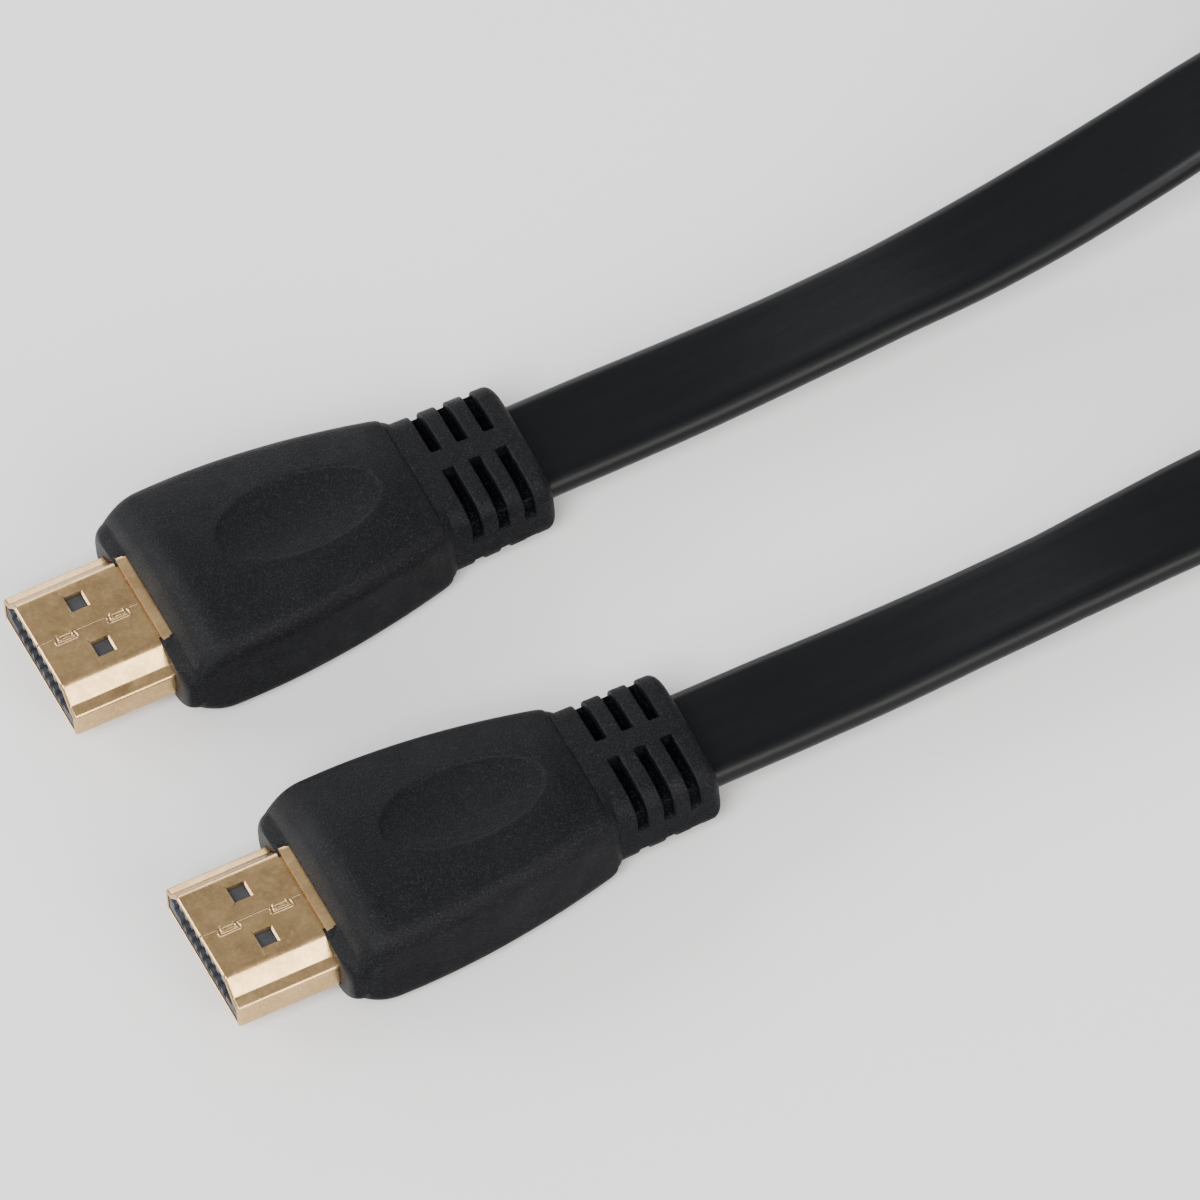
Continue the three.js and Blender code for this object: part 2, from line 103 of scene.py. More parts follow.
def addMath(tree, operation, *values):
    inputs = {f"i{number}": value for number, value in enumerate(values)}
    return addNode(tree, "ShaderNodeMath", {"operation": operation}, **inputs).outputs[0]


def addRange(tree, value, span, reach=(0.0, 1.0)):
    # turns the numbers of span into those of reach, and holds what lies beyond
    node = addNode(tree, "ShaderNodeMapRange", Value=value, From_Min=span[0], From_Max=span[1],
                   To_Min=reach[0], To_Max=reach[1])
    return node.outputs["Result"]


def addNoise(tree, spot, scale, detail, roughness=0.5):
    node = addNode(tree, "ShaderNodeTexNoise", Vector=spot, Scale=scale, Detail=detail,
                   Roughness=roughness)
    return node.outputs["Fac"]


def addMask(tree, name):
    # reads what paintMask wrote on the mesh
    return addNode(tree, "ShaderNodeAttribute", {"attribute_name": name}).outputs["Fac"]


def addInputs(tree, inputs):
    for label, kind, value in inputs:
        socket = tree.interface.new_socket(label, in_out="INPUT", socket_type=kind)
        if value is not None:
            socket.default_value = value


def newGroup(name, inputs, outputs):
    group = bpy.data.node_groups.new(name, "ShaderNodeTree")
    addInputs(group, [("Vector", "NodeSocketVector", (0, 0, 0)), *inputs])
    for label in outputs:
        group.interface.new_socket(label, in_out="OUTPUT", socket_type="NodeSocketFloat")
    return group, group.nodes.new("NodeGroupInput"), group.nodes.new("NodeGroupOutput")


wear = {
    "grainDetail": 3.0, "grainRoughness": 0.62, "pitShare": 0.45, "fleckSpan": (0.5, 0.72),
    "cloudDetail": 4.0, "cloudRoughness": 0.55, "cloudSpan": (0.3, 0.7),
    "rubsPerMetre": 900.0, "rubDetail": 3.0, "rubSpan": (0.35, 0.6),
}


def makeMouldGrain():
    # spark-eroded grain of moulded plastic: a height and a mask of its bright flecks
    group, given, out = newGroup("mouldGrain", [("Grains per metre", "NodeSocketFloat", 6000.0)],
                                 ["Height", "Flecks"])
    spot, scale = given.outputs[0], given.outputs[1]
    fine = addNoise(group, spot, scale, wear["grainDetail"], wear["grainRoughness"])
    pits = addNode(group, "ShaderNodeTexVoronoi", {"feature": "F1"}, Vector=spot, Scale=scale)
    height = addMath(group, "MULTIPLY_ADD", pits.outputs["Distance"], wear["pitShare"], fine)
    group.links.new(height, out.inputs["Height"])
    group.links.new(addRange(group, fine, wear["fleckSpan"]), out.inputs["Flecks"])
    return group


def makeCloudy():
    # slow uneven patches, as handling and moulding leave them
    group, given, out = newGroup("cloudy", [
        ("Patches per metre", "NodeSocketFloat", 120.0),
        ("Low", "NodeSocketFloat", 0.4), ("High", "NodeSocketFloat", 0.6),
    ], ["Amount"])
    noise = addNoise(group, given.outputs[0], given.outputs[1], wear["cloudDetail"],
                     wear["cloudRoughness"])
    spread = addRange(group, noise, wear["cloudSpan"], (given.outputs[2], given.outputs[3]))
    group.links.new(spread, out.inputs["Amount"])
    return group


def makeRubbedEdges():
    # 1 on sharp outer edges, 0 on flats, broken up a little
    group, given, out = newGroup("rubbedEdges", [
        ("From", "NodeSocketFloat", 0.52), ("To", "NodeSocketFloat", 0.62),
    ], ["Mask"])
    shape = group.nodes.new("ShaderNodeNewGeometry")
    edge = addRange(group, shape.outputs["Pointiness"], (given.outputs[1], given.outputs[2]))
    noise = addNoise(group, given.outputs[0], wear["rubsPerMetre"], wear["rubDetail"])
    broken = addRange(group, noise, wear["rubSpan"])
    group.links.new(addMath(group, "MULTIPLY", edge, broken), out.inputs["Mask"])
    return group


mouldGrain = makeMouldGrain()
cloudy = makeCloudy()
rubbedEdges = makeRubbedEdges()


def newMaterial(name, look):
    # look["plain"] holds the surface's own numbers, for what nothing below feeds
    material = bpy.data.materials.new(name)
    material.use_nodes = True
    tree = material.node_tree
    surface = next(n for n in tree.nodes if n.type == "BSDF_PRINCIPLED")
    for label, value in look["plain"].items():
        surface.inputs[label].default_value = value
    spot = tree.nodes.new("ShaderNodeTexCoord").outputs["Object"]
    return material, tree, surface, spot


def useGroup(tree, group, spot, **values):
    node = tree.nodes.new("ShaderNodeGroup")
    node.node_tree = group
    tree.links.new(spot, node.inputs["Vector"])
    for name, value in values.items():
        node.inputs[name.replace("_", " ")].default_value = value
    return node


def patchesOf(tree, spot, perMetre, low=0.0, high=1.0):
    return useGroup(tree, cloudy, spot, Patches_per_metre=perMetre, Low=low, High=high).outputs[0]


def rubbedOf(tree, spot, span):
    return useGroup(tree, rubbedEdges, spot, From=span[0], To=span[1]).outputs["Mask"]


def blendColours(tree, amount, first, second):
    node = addNode(tree, "ShaderNodeMix", {"data_type": "RGBA"})
    for number, value in ((0, amount), (6, first), (7, second)):    # the RGBA mix's own sockets
        socket = node.inputs[number]
        if isinstance(value, bpy.types.NodeSocket):
            tree.links.new(value, socket)
        else:
            socket.default_value = value if isinstance(value, float) else (*value, 1)
    return node.outputs[2]


def feed(tree, surface, **values):
    for name, value in values.items():
        tree.links.new(value, surface.inputs[name.replace("_", " ")])


def addBump(tree, surface, height, look):
    bump = addNode(tree, "ShaderNodeBump", Strength=look["bumpStrength"],
                   Distance=look["bumpDepth"], Height=height)
    feed(tree, surface, Normal=bump.outputs["Normal"])


# materials: patches, grain and streaks are counted per metre, depths are in metres

gripLook = {
    "plain": {"Roughness": 0.6, "Metallic": 0.0, "Specular IOR Level": 0.13},
    "body": (0.0018, 0.0020, 0.0027), "pale": (0.0036, 0.0039, 0.0049), "patches": 150.0,
    "fleck": (0.017, 0.018, 0.0215), "rubbed": (0.6, 0.75),
    # painted sheen and shade: the specular level is set by which way the surface faces, dim on the
    # sides, brighter on the top and the front
    "paintedSideSheen": 0.04, "paintedTopSheen": 0.145, "upwards": (-0.1, 0.85),    # by the normal's Z
    "paintedFrontSheen": 0.3, "forwards": (-0.7, -0.97),                     # by the normal's X
    "gloss": (0.44, 0.56), "glossPatches": 420.0,
    "grains": 6200.0, "bumpStrength": 0.8, "bumpDepth": 0.00008,
}


def makeGripMaterial(look):
    material, tree, surface, spot = newMaterial("softBlackGrip", look)
    grain = useGroup(tree, mouldGrain, spot, Grains_per_metre=look["grains"])
    body = blendColours(tree, patchesOf(tree, spot, look["patches"]), look["body"], look["pale"])
    flecked = blendColours(tree, grain.outputs["Flecks"], body, look["fleck"])
    worn = blendColours(tree, rubbedOf(tree, spot, look["rubbed"]), flecked, look["fleck"])
    # painted shade and sheen: by which way the normal faces, the sides shine less and the top and
    # the front faces more, and the grooves' floors lose their shine by their painted mask
    normal = tree.nodes.new("ShaderNodeNewGeometry").outputs["Normal"]
    facing = addNode(tree, "ShaderNodeSeparateXYZ", i0=normal)
    paintedSheenUp = addRange(tree, facing.outputs[2], look["upwards"],
                       (look["paintedSideSheen"], look["paintedTopSheen"]))
    # frontFace here is the painted sheen on faces that look forwards
    frontFace = addRange(tree, facing.outputs[0], look["forwards"], (0.0, look["paintedFrontSheen"]))
    clear = addMath(tree, "SUBTRACT", 1.0, addMask(tree, "paintedGrooveShade"))
    paintedSheen = addMath(tree, "MULTIPLY", addMath(tree, "ADD", paintedSheenUp, frontFace), clear)
    feed(tree, surface, Base_Color=worn, Specular_IOR_Level=paintedSheen,
         Roughness=patchesOf(tree, spot, look["glossPatches"], *look["gloss"]))
    addBump(tree, surface, grain.outputs["Height"], look)
    return material


cordLook = {
    "plain": {"Roughness": 0.45, "Metallic": 0.0, "Specular IOR Level": 0.2},
    "body": (0.0018, 0.0022, 0.0031), "pale": (0.0034, 0.0040, 0.0052), "patches": 60.0,
    "streaks": 900.0, "streakDetail": 3.0, "streakSquash": 0.12, "streakHeight": 1.6,
    "gloss": (0.34, 0.46), "grains": 9000.0, "bumpStrength": 0.3, "bumpDepth": 0.00003,
}


def makeCordMaterial(look):
    material, tree, surface, spot = newMaterial("smoothBlackCord", look)
    along = tree.nodes.new("ShaderNodeUVMap")
    along.uv_map = "alongCord"      # U runs along the cord, V across it, both in metres
    squashed = addNode(tree, "ShaderNodeMapping", Vector=along.outputs[0],
                       Scale=(look["streakSquash"], 1, 1))
    streaks = addNoise(tree, squashed.outputs[0], look["streaks"], look["streakDetail"])
    tint = addMath(tree, "MULTIPLY", patchesOf(tree, spot, look["patches"]), streaks)
    grain = useGroup(tree, mouldGrain, spot, Grains_per_metre=look["grains"])
    height = addMath(tree, "MULTIPLY_ADD", streaks, look["streakHeight"], grain.outputs["Height"])
    feed(tree, surface, Base_Color=blendColours(tree, tint, look["body"], look["pale"]),
         Roughness=addRange(tree, streaks, (0.0, 1.0), look["gloss"]))
    addBump(tree, surface, height, look)
    return material


goldLook = {
    "plain": {"Roughness": 0.3, "Metallic": 1.0, "Specular IOR Level": 0.5},
    "dull": (0.47, 0.30, 0.14), "body": (0.61, 0.405, 0.195), "pale": (0.80, 0.57, 0.30),
    "patches": 260.0, "rubbed": (0.53, 0.62),
    "specks": 2600.0, "speckDetail": 5.0, "speckRoughness": 0.7, "speckSpan": (0.45, 0.75),
    "speckMost": 0.6,
    "stain": (0.13, 0.07, 0.03), "stains": 420.0, "stainDetail": 6.0, "stainRoughness": 0.75,
    "stainSpan": (0.66, 0.78), "stainMost": 0.7,
    "seam": (0.1, 0.06, 0.03), "gloss": (0.22, 0.36), "glossPatches": 700.0,
    "drawn": (60, 1400, 900), "drawnDetail": 4.0, "drawnHeight": 0.5,
    "bumpStrength": 0.25, "bumpDepth": 0.00004,
}


def makeGoldMaterial(look):
    material, tree, surface, spot = newMaterial("satinGold", look)
    specks = addNoise(tree, spot, look["specks"], look["speckDetail"], look["speckRoughness"])
    stains = addNoise(tree, spot, look["stains"], look["stainDetail"], look["stainRoughness"])
    # the shell seam's dark line, and on the collar painted shade: both darker and less metallic
    seam = addMask(tree, "seamDarkAndPaintedShade")
    colour = blendColours(tree, patchesOf(tree, spot, look["patches"]), look["dull"], look["body"])
    for amount, over in (
        (addRange(tree, specks, look["speckSpan"], (0.0, look["speckMost"])), look["pale"]),
        (addRange(tree, stains, look["stainSpan"], (0.0, look["stainMost"])), look["stain"]),
        (rubbedOf(tree, spot, look["rubbed"]), look["pale"]),
        (seam, look["seam"]),
    ):
        colour = blendColours(tree, amount, colour, over)
    lines = addNode(tree, "ShaderNodeMapping", Vector=spot, Scale=look["drawn"])
    drawn = addNoise(tree, lines.outputs[0], 1.0, look["drawnDetail"])
    feed(tree, surface, Base_Color=colour, Metallic=addMath(tree, "SUBTRACT", 1.0, seam),
         Roughness=patchesOf(tree, spot, look["glossPatches"], *look["gloss"]))
    addBump(tree, surface, addMath(tree, "MULTIPLY_ADD", drawn, look["drawnHeight"], specks), look)
    return material


contactLook = {
    "plain": {"Roughness": 0.2, "Metallic": 1.0, "Specular IOR Level": 0.5},
    "body": (0.8, 0.57, 0.24), "pale": (0.80, 0.57, 0.30), "patches": 900.0,
    "gloss": (0.12, 0.3), "glossPatches": 1500.0, "bumpStrength": 0.15, "bumpDepth": 0.00002,
}
insulatorLook = {
    "plain": {"Roughness": 0.5, "Metallic": 0.0, "Specular IOR Level": 0.5},
    "body": (0.02, 0.022, 0.028), "pale": (0.034, 0.037, 0.045), "patches": 300.0,
    "gloss": (0.4, 0.55), "glossPatches": 500.0,
    "grains": 5000.0, "bumpStrength": 0.25, "bumpDepth": 0.00003,
}
tieLook = {
    "plain": {"Roughness": 0.42, "Metallic": 0.0, "Specular IOR Level": 0.5},
    "body": (0.010, 0.0105, 0.012), "pale": (0.018, 0.019, 0.021), "patches": 200.0,
    "rubbed": (0.52, 0.6), "rubbedColour": (0.05, 0.052, 0.056),
    "gloss": (0.34, 0.5), "glossPatches": 500.0,
    "grains": 3500.0, "bumpStrength": 0.3, "bumpDepth": 0.00004,
}


def makeSmallMaterial(name, look):
    # two tones in patches, with rubbed edges and moulded grain where the look names them
    material, tree, surface, spot = newMaterial(name, look)
    height = patchesOf(tree, spot, look["patches"])
    colour = blendColours(tree, height, look["body"], look["pale"])
    if "rubbed" in look:
        colour = blendColours(tree, rubbedOf(tree, spot, look["rubbed"]), colour,
                              look["rubbedColour"])
    if "grains" in look:
        grain = useGroup(tree, mouldGrain, spot, Grains_per_metre=look["grains"])
        height = grain.outputs["Height"]
    feed(tree, surface, Base_Color=colour,
         Roughness=patchesOf(tree, spot, look["glossPatches"], *look["gloss"]))
    addBump(tree, surface, height, look)
    return material


gripMaterial = makeGripMaterial(gripLook)
cordMaterial = makeCordMaterial(cordLook)
goldMaterial = makeGoldMaterial(goldLook)
contactMaterial = makeSmallMaterial("contactGold", contactLook)
insulatorMaterial = makeSmallMaterial("insulatorPlastic", insulatorLook)
tieMaterial = makeSmallMaterial("tiePlastic", tieLook)
print("materials: done")

# mesh helpers


def makeObject(name, points, faces, material, sharpAngle=32, recalculate=True):
    mesh = bpy.data.meshes.new(name)
    mesh.from_pydata((np.asarray(points) * mm).tolist(), [], faces)
    mesh.validate()
    if recalculate:
        body = bmesh.new()
        body.from_mesh(mesh)
        bmesh.ops.recalc_face_normals(body, faces=body.faces)
        body.to_mesh(mesh)
        body.free()
    mesh.materials.append(material)
    finishShading(mesh, sharpAngle)
    piece = bpy.data.objects.new(name, mesh)
    bpy.context.scene.collection.objects.link(piece)
    return piece


def finishShading(mesh, sharpAngle):
    mesh.polygons.foreach_set("use_smooth", [True] * len(mesh.polygons))
    mesh.set_sharp_from_angle(angle=math.radians(sharpAngle))
    mesh.update()


def gridFaces(rows, around, skip=None):
    # faces between rings of points that follow each other, less what skip leaves open
    faces = []
    for i in range(rows - 1):
        for j in range(around):
            if skip is None or not skip(i, j):
                a, b = i * around + j, i * around + (j + 1) % around
                faces.append((a, b, b + around, a + around))
    return faces


def joinRings(around, first, second):
    # a band of faces between two rings, each given by its first point
    faces = []
    for j in range(around):
        n = (j + 1) % around
        faces.append((first + j, first + n, second + n, second + j))
    return faces


def closeEnds(rows, around, count):
    # fans over the first and the last ring, to the last two of the points
    faces = []
    for start, middle, flip in ((0, count - 2, True), ((rows - 1) * around, count - 1, False)):
        for j in range(around):
            a, b = start + j, start + (j + 1) % around
            faces.append((b, a, middle) if flip else (a, b, middle))
    return faces


def paintMask(piece, name, values):
    # a number from 0 to 1 on each point, which the material reads with addMask
    attribute = piece.data.attributes.new(name, "FLOAT", "POINT")
    attribute.data.foreach_set("value", np.asarray(values, np.float32))


def setPiece(piece, slotName, *nodes):
    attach(piece, "root")
    if nodes:
        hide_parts(*nodes)


def smoothstep(value, low, high):
    share = np.clip((value - low) / (high - low), 0, 1)
    return share * share * (3 - 2 * share)


# flat cord

cord = {
    "length": 1500, "width": 9.4, "thickness": 2.4, "edgeBead": 0.06, "beadPower": 6,
    "cornerSteps": 6, "flatSteps": 8, "ringEvery": 2.0, "intoPlug": 0.5,
    "coilPitch": 3.7, "coilInnerRadius": 26, "coilHalfTurns": 7, "coilLeft": 130,
    "coilCentreY": 12, "coilMeetsA": 172, "coilHeight": 5.7,
    "routeEvery": 0.5, "straightEvery": 2, "turnSteps": 44,
    # x, y, z and the roll in degrees, from each plug to the coil
    "routeA": [
        (22.68, 16.5, 4.3, 5), (30, 16.5, 4.3, 5), (38, 16.5, 4.3, 2), (47, 16.5, 4.6, -3),
        (56, 16.6, 5.1, -4), (64, 16.8, 5.7, 2), (72, 17.1, 6.8, 5), (80, 17.3, 8.6, 4),
        (88, 17.4, 10.8, 2), (95, 17.4, 12.2, 0), (102, 17.6, 12.5, 2), (110, 18.6, 11.4, 14),
        (118, 21, 9.4, 36), (127, 25.4, 7.3, 64), (137, 30.8, 6.1, 83), (148, 35.4, 5.7, 90),
        (160, 37.6, 5.7, 90), (172, 38, 5.7, 90),
    ],
    "routeB": [
        (21.82, -16.5, 4.3, 5), (30, -16.5, 4.3, 5), (38, -16.5, 4.3, 2), (47, -16.4, 4.5, -3),
        (56, -16.3, 4.9, -4), (64, -16.1, 5.4, 2), (71, -16.1, 5.9, 9), (79, -16.5, 6.2, 25),
        (88, -17.8, 6.2, 47), (98, -20.2, 6.0, 69), (108, -23.1, 5.8, 84), (119, -25.8, 5.7, 90),
        (130, -26.95, 5.7, 90),
    ],
}


def smoothRoute(route):
    # the same centripetal curve as the CAD's, as close points of x, y, z and roll
    rows = np.array(route, float)
    spots = np.vstack([2 * rows[0] - rows[1], rows, 2 * rows[-1] - rows[-2]])
    found = []
    for i in range(1, len(spots) - 2):
        p0, p1, p2, p3 = spots[i - 1:i + 3, :3]
        d0, d1, d2 = (np.linalg.norm(b - a) ** 0.5 for a, b in ((p0, p1), (p1, p2), (p2, p3)))
        t1 = ((p1 - p0) / d0 - (p2 - p0) / (d0 + d1) + (p2 - p1) / d1) * d1
        t2 = ((p2 - p1) / d1 - (p3 - p1) / (d1 + d2) + (p3 - p2) / d2) * d1
        steps = max(2, round(float(np.linalg.norm(p2 - p1)) / cord["routeEvery"]))
        for share in np.arange(steps) / steps:
            squared = (3 * (p2 - p1) - 2 * t1 - t2) * share ** 2
            cubed = (2 * (p1 - p2) + t1 + t2) * share ** 3
            place = p1 + t1 * share + squared + cubed
            roll = spots[i, 3] + (spots[i + 1, 3] - spots[i, 3]) * share
            found.append([*place, roll])
    found.append(list(rows[-1]))
    return np.array(found)


def pathLength(points):
    return float(np.linalg.norm(np.diff(points[:, :3], axis=0), axis=1).sum())


def cordCentreline():
    strandA, strandB = smoothRoute(cord["routeA"]), smoothRoute(cord["routeB"])
    turns = cord["coilHalfTurns"]
    radius = [cord["coilInnerRadius"] + run * cord["coilPitch"] / 2 for run in range(turns + 1)]
    bends = sum(math.pi * (radius[k] + radius[k + 1]) / 2 for k in range(turns))
    left, joins, middle = cord["coilLeft"], cord["coilMeetsA"], cord["coilCentreY"]
    spare = cord["length"] - pathLength(strandA) - pathLength(strandB) - bends + joins - left
    right = left + spare / (turns + 1)
    points = [list(p) for p in strandA]
    for run in range(turns + 1):
        onFar = run % 2 == 0
        y = middle + radius[run] if onFar else middle - radius[run]
        start = joins if run == 0 else (left if onFar else right)
        end = right if onFar else left
        steps = max(2, round(abs(end - start) / cord["straightEvery"]))
        for share in np.linspace(0, 1, steps + 1)[1:]:
            points.append([start + (end - start) * share, y, cord["coilHeight"], 90])
        if run < turns:
            turnRadius = (radius[run] + radius[run + 1]) / 2
            centre = y - turnRadius if onFar else y + turnRadius
            for share in np.linspace(0, 1, cord["turnSteps"] + 1)[1:-1]:
                angle = math.pi / 2 - math.pi * share if onFar else -math.pi / 2 - math.pi * share
                points.append([end + turnRadius * math.cos(angle),
                               centre + turnRadius * math.sin(angle), cord["coilHeight"], 90])
    # strand B is walked from the coil back to its plug, so its roll turns over with the direction
    for place in strandB[::-1][1:]:
        points.append([*place[:3], 180 - place[3]])
    return np.array(points)


def distances(points):
    # how far along its line each point lies
    return np.concatenate([[0], np.cumsum(np.linalg.norm(np.diff(points, axis=0), axis=1))])


def evenly(points, every):
    travelled = distances(points[:, :3])
    count = int(round(travelled[-1] / every)) + 1
    wanted = np.linspace(0, travelled[-1], count)
    columns = [np.interp(wanted, travelled, points[:, k]) for k in range(points.shape[1])]
    return np.stack(columns, axis=1), wanted


def cordSection():
    # a flat band with round edges, its broad faces a touch hollow beside the edge beads
    half, reach = cord["thickness"] / 2, cord["width"] / 2 - cord["thickness"] / 2
    points = []
    for side in (1, -1):
        for step in range(cord["cornerSteps"] * 2 + 1):
            angle = math.pi * (step / (cord["cornerSteps"] * 2) - 0.5)
            points.append((side * (reach + half * math.cos(angle)), side * half * math.sin(angle)))
        for step in range(1, cord["flatSteps"]):
            share = 1 - 2 * step / cord["flatSteps"]
            sink = cord["edgeBead"] * (1 - share ** cord["beadPower"])
            points.append((side * reach * share, side * (half - sink)))
    return np.array(points)


def makeCord():
    path, travelled = evenly(cordCentreline(), cord["ringEvery"])
    spots = path[:, :3].copy()
    ahead = np.gradient(spots, axis=0)
    ahead /= np.linalg.norm(ahead, axis=1)[:, None]
    level = np.cross((0, 0, 1), ahead)
    level /= np.linalg.norm(level, axis=1)[:, None]
    rise = np.cross(ahead, level)
    roll = np.radians(path[:, 3])[:, None]
    across = level * np.cos(roll) + rise * np.sin(roll)
    out = rise * np.cos(roll) - level * np.sin(roll)
    spots[0] -= ahead[0] * cord["intoPlug"]
    spots[-1] += ahead[-1] * cord["intoPlug"]
    section = cordSection()
    rings = spots[:, None] + across[:, None] * section[None, :, :1]
    rings = rings + out[:, None] * section[None, :, 1:]
    around = len(section)
    points = np.vstack([rings.reshape(-1, 3), spots[:1], spots[-1:]])
    faces = gridFaces(len(rings), around) + closeEnds(len(rings), around, len(points))
    piece = makeObject("flatCord", points, faces, cordMaterial, sharpAngle=60)
    girth = distances(section)
    layer = piece.data.uv_layers.new(name="alongCord")
    corner = np.zeros(len(piece.data.loops), int)
    piece.data.loops.foreach_get("vertex_index", corner)
    ring = np.minimum(corner // around, len(rings) - 1)
    values = np.stack([travelled[ring], girth[corner % around]], axis=1) * mm
    layer.data.foreach_set("uv", values.astype(np.float32).ravel())
    return piece, spots


flatCord, cordPath = makeCord()
print("cord: done,", round(pathLength(cordPath)), "mm")

# grip and strain relief, one moulding

grip = {
    "reach": 9.2, "middle": 4.45, "length": 25.3, "edgeAbove": 4.45, "crown": 0.95,
    "widthFront": 18.9, "widthMost": 19.26, "widthBack": 14, "fullestAt": 6.3,
    "narrowing": 1.87, "edgeDrop": 0.4, "crownDrop": 0.15, "edgeRadius": 1.9,
    "frontCorner": 1.2, "frontTaper": 3.4, "frontPower": 2.2,
    "frontTopDrop": 2.15, "frontCrownDrop": 0.25, "frontBottomRise": 1.6, "ledgeDrop": 0.5,
    "backRound": 0.8, "backDip": 0.3, "backFade": 2.8, "backCorner": 1.1, "backCrown": 0.25,
    "sidesBehindTop": 0.9, "endRings": 12, "middleRings": 155,
    "ovalLength": 14.9, "ovalWidth": 7.9, "ovalFromFront": 15, "ovalRim": 0.09,
    "ovalRimFrom": 0.955, "ovalHollow": 0.7,
    "notchDepth": 1.1, "notchHalfWidth": 4.8, "notchRoom": 0.9, "notchAbove": 0.5,
    "pocketHug": 0.06, "pocketRoom": 0.55, "pocketLip": 0.18, "pocketEnd": 17.7,
    "frontFace": (0.3, 0.65),     # shares of the way from the mouth out to the edge
}
relief = {
    "length": 10, "width": 12.85, "heightFront": 8.1, "heightBack": 7.3, "crown": 0.15,
    "edgeRadius": 2.2, "backRound": 0.9, "sideRings": 9, "edgeRings": 6, "endRings": 9,
    "slotRows": 3, "slotPitch": 2.4, "slotWidth": 1.0, "slotDepth": 1.6, "slotSideDepth": 0.5,
    "slotFromGrip": 2.8, "slotEdge": 0.17, "slotInsets": (0.02, 0.1, 0.3),
    "topRibHalf": 1.05, "topRibFade": 0.12,
    "bridgeAbove": 0.3, "bridgeBelow": 2.4, "bridgeFade": 0.15,
    "cordRoom": 0.05, "cordDrop": 0.15, "cordHole": 0.6, "cordHoleEdge": 0.04,
    "backFace": (0.25, 0.6, 0.97),    # shares of the way from the edge in to the cord
}
sectionCounts = {"corner": 10, "top": 96, "side": 18, "bottomCorner": 8, "bottom": 20}


def endRounding(distance, radius):
    inside = np.clip(radius - distance, 0, radius)
    return radius - math.sqrt(radius ** 2 - inside ** 2)


def gripHalfWidth(along):
    if along < grip["fullestAt"]:
        rise = 1 - (1 - along / grip["fullestAt"]) ** 2
        return (grip["widthFront"] + (grip["widthMost"] - grip["widthFront"]) * rise) / 2
    share = (along - grip["fullestAt"]) / (grip["length"] - grip["fullestAt"])
    narrower = (grip["widthMost"] - grip["widthBack"]) * share ** grip["narrowing"]
    return (grip["widthMost"] - narrower) / 2


def roundedHalfWidth(along):
    toBack = grip["length"] + grip["sidesBehindTop"] - along
    front, back = endRounding(along, grip["frontCorner"]), endRounding(toBack, grip["backCorner"])
    return gripHalfWidth(along) - front - back


def sectionOutline(halfWidth, low, edge, crown, radius):
    # right upper corner, top, left upper corner, left side, bottom, right side
    slope = math.atan(2 * crown / (halfWidth - radius))
    reach = halfWidth - radius + radius * math.sin(slope)
    level = edge - radius + radius * math.cos(slope)
    rise = reach * math.tan(slope) / 2
    n = sectionCounts
    points = []

    def addCorner(side, up, angle):
        middle = edge - radius if up > 0 else low + radius
        points.append((side * (halfWidth - radius + radius * math.cos(angle)),
                       middle + up * radius * math.sin(angle)))

    for step in range(n["corner"]):
        addCorner(1, 1, (math.pi / 2 - slope) * step / n["corner"])
    for step in range(n["top"] + 1):
        y = reach * (1 - 2 * step / n["top"])
        points.append((y, level + rise * (1 - (y / reach) ** 2)))
    for step in range(1, n["corner"] + 1):
        addCorner(-1, 1, (math.pi / 2 - slope) * (1 - step / n["corner"]))
    upright = edge - low - 2 * radius
    for step in range(1, n["side"]):
        points.append((-halfWidth, edge - radius - upright * step / n["side"]))
    for step in range(n["bottomCorner"] + 1):
        addCorner(-1, -1, math.pi / 2 * step / n["bottomCorner"])
    for step in range(1, n["bottom"]):
        points.append(((halfWidth - radius) * (2 * step / n["bottom"] - 1), low))
    for step in range(n["bottomCorner"] + 1):
        addCorner(1, -1, math.pi / 2 * (1 - step / n["bottomCorner"]))
    for step in range(1, n["side"]):
        points.append((halfWidth, low + radius + upright * step / n["side"]))
    return np.array(points)


def gripSection(along):
    inset = endRounding(grip["length"] - along, grip["backRound"]) * grip["backDip"]
    ending = float(smoothstep(along, grip["length"] - grip["backFade"], grip["length"]))
    back = max(0, (along - grip["fullestAt"]) / (grip["length"] - grip["fullestAt"]))
    front = np.clip(1 - (along - grip["notchDepth"]) / grip["frontTaper"], 0, 1)
    front = front ** grip["frontPower"]
    edge = grip["middle"] + grip["edgeAbove"] - grip["edgeDrop"] * back ** 2
    edge -= grip["frontTopDrop"] * front + inset
    edge -= grip["ledgeDrop"] * max(0, 1 - along / grip["notchDepth"])
    crown = grip["crown"] - grip["crownDrop"] * back - grip["frontCrownDrop"] * front
    crown += (grip["backCrown"] - crown) * ending
    low = inset * 2 + grip["frontBottomRise"] * front
    return sectionOutline(roundedHalfWidth(along), low, edge, crown, grip["edgeRadius"])


def reliefSection(along):
    inset = endRounding(relief["length"] - along, relief["backRound"])
    lower = relief["heightFront"] - relief["heightBack"]
    height = relief["heightFront"] - lower * along / relief["length"]
    sides = roundedHalfWidth(grip["length"] + along) if along < grip["sidesBehindTop"] else 0
    halfWidth = max(relief["width"] / 2 - inset, sides)
    low = grip["middle"] - height / 2 + inset
    edge = grip["middle"] + height / 2 - relief["crown"] - inset
    return sectionOutline(halfWidth, low, edge, relief["crown"], relief["edgeRadius"])


def slotMask(outline):
    # where round the relief a groove is cut: four corners, ending square on the sides
    y, z = outline[:, 0], outline[:, 1] - grip["middle"]
    rib, above, below = relief["topRibHalf"], relief["bridgeAbove"], relief["bridgeBelow"]
    besideRib = smoothstep(np.abs(y), rib, rib + relief["topRibFade"])
    upper = smoothstep(z, above, above + relief["bridgeFade"])
    lower = smoothstep(-z, below, below + relief["bridgeFade"])
    return besideRib * np.maximum(upper, lower)


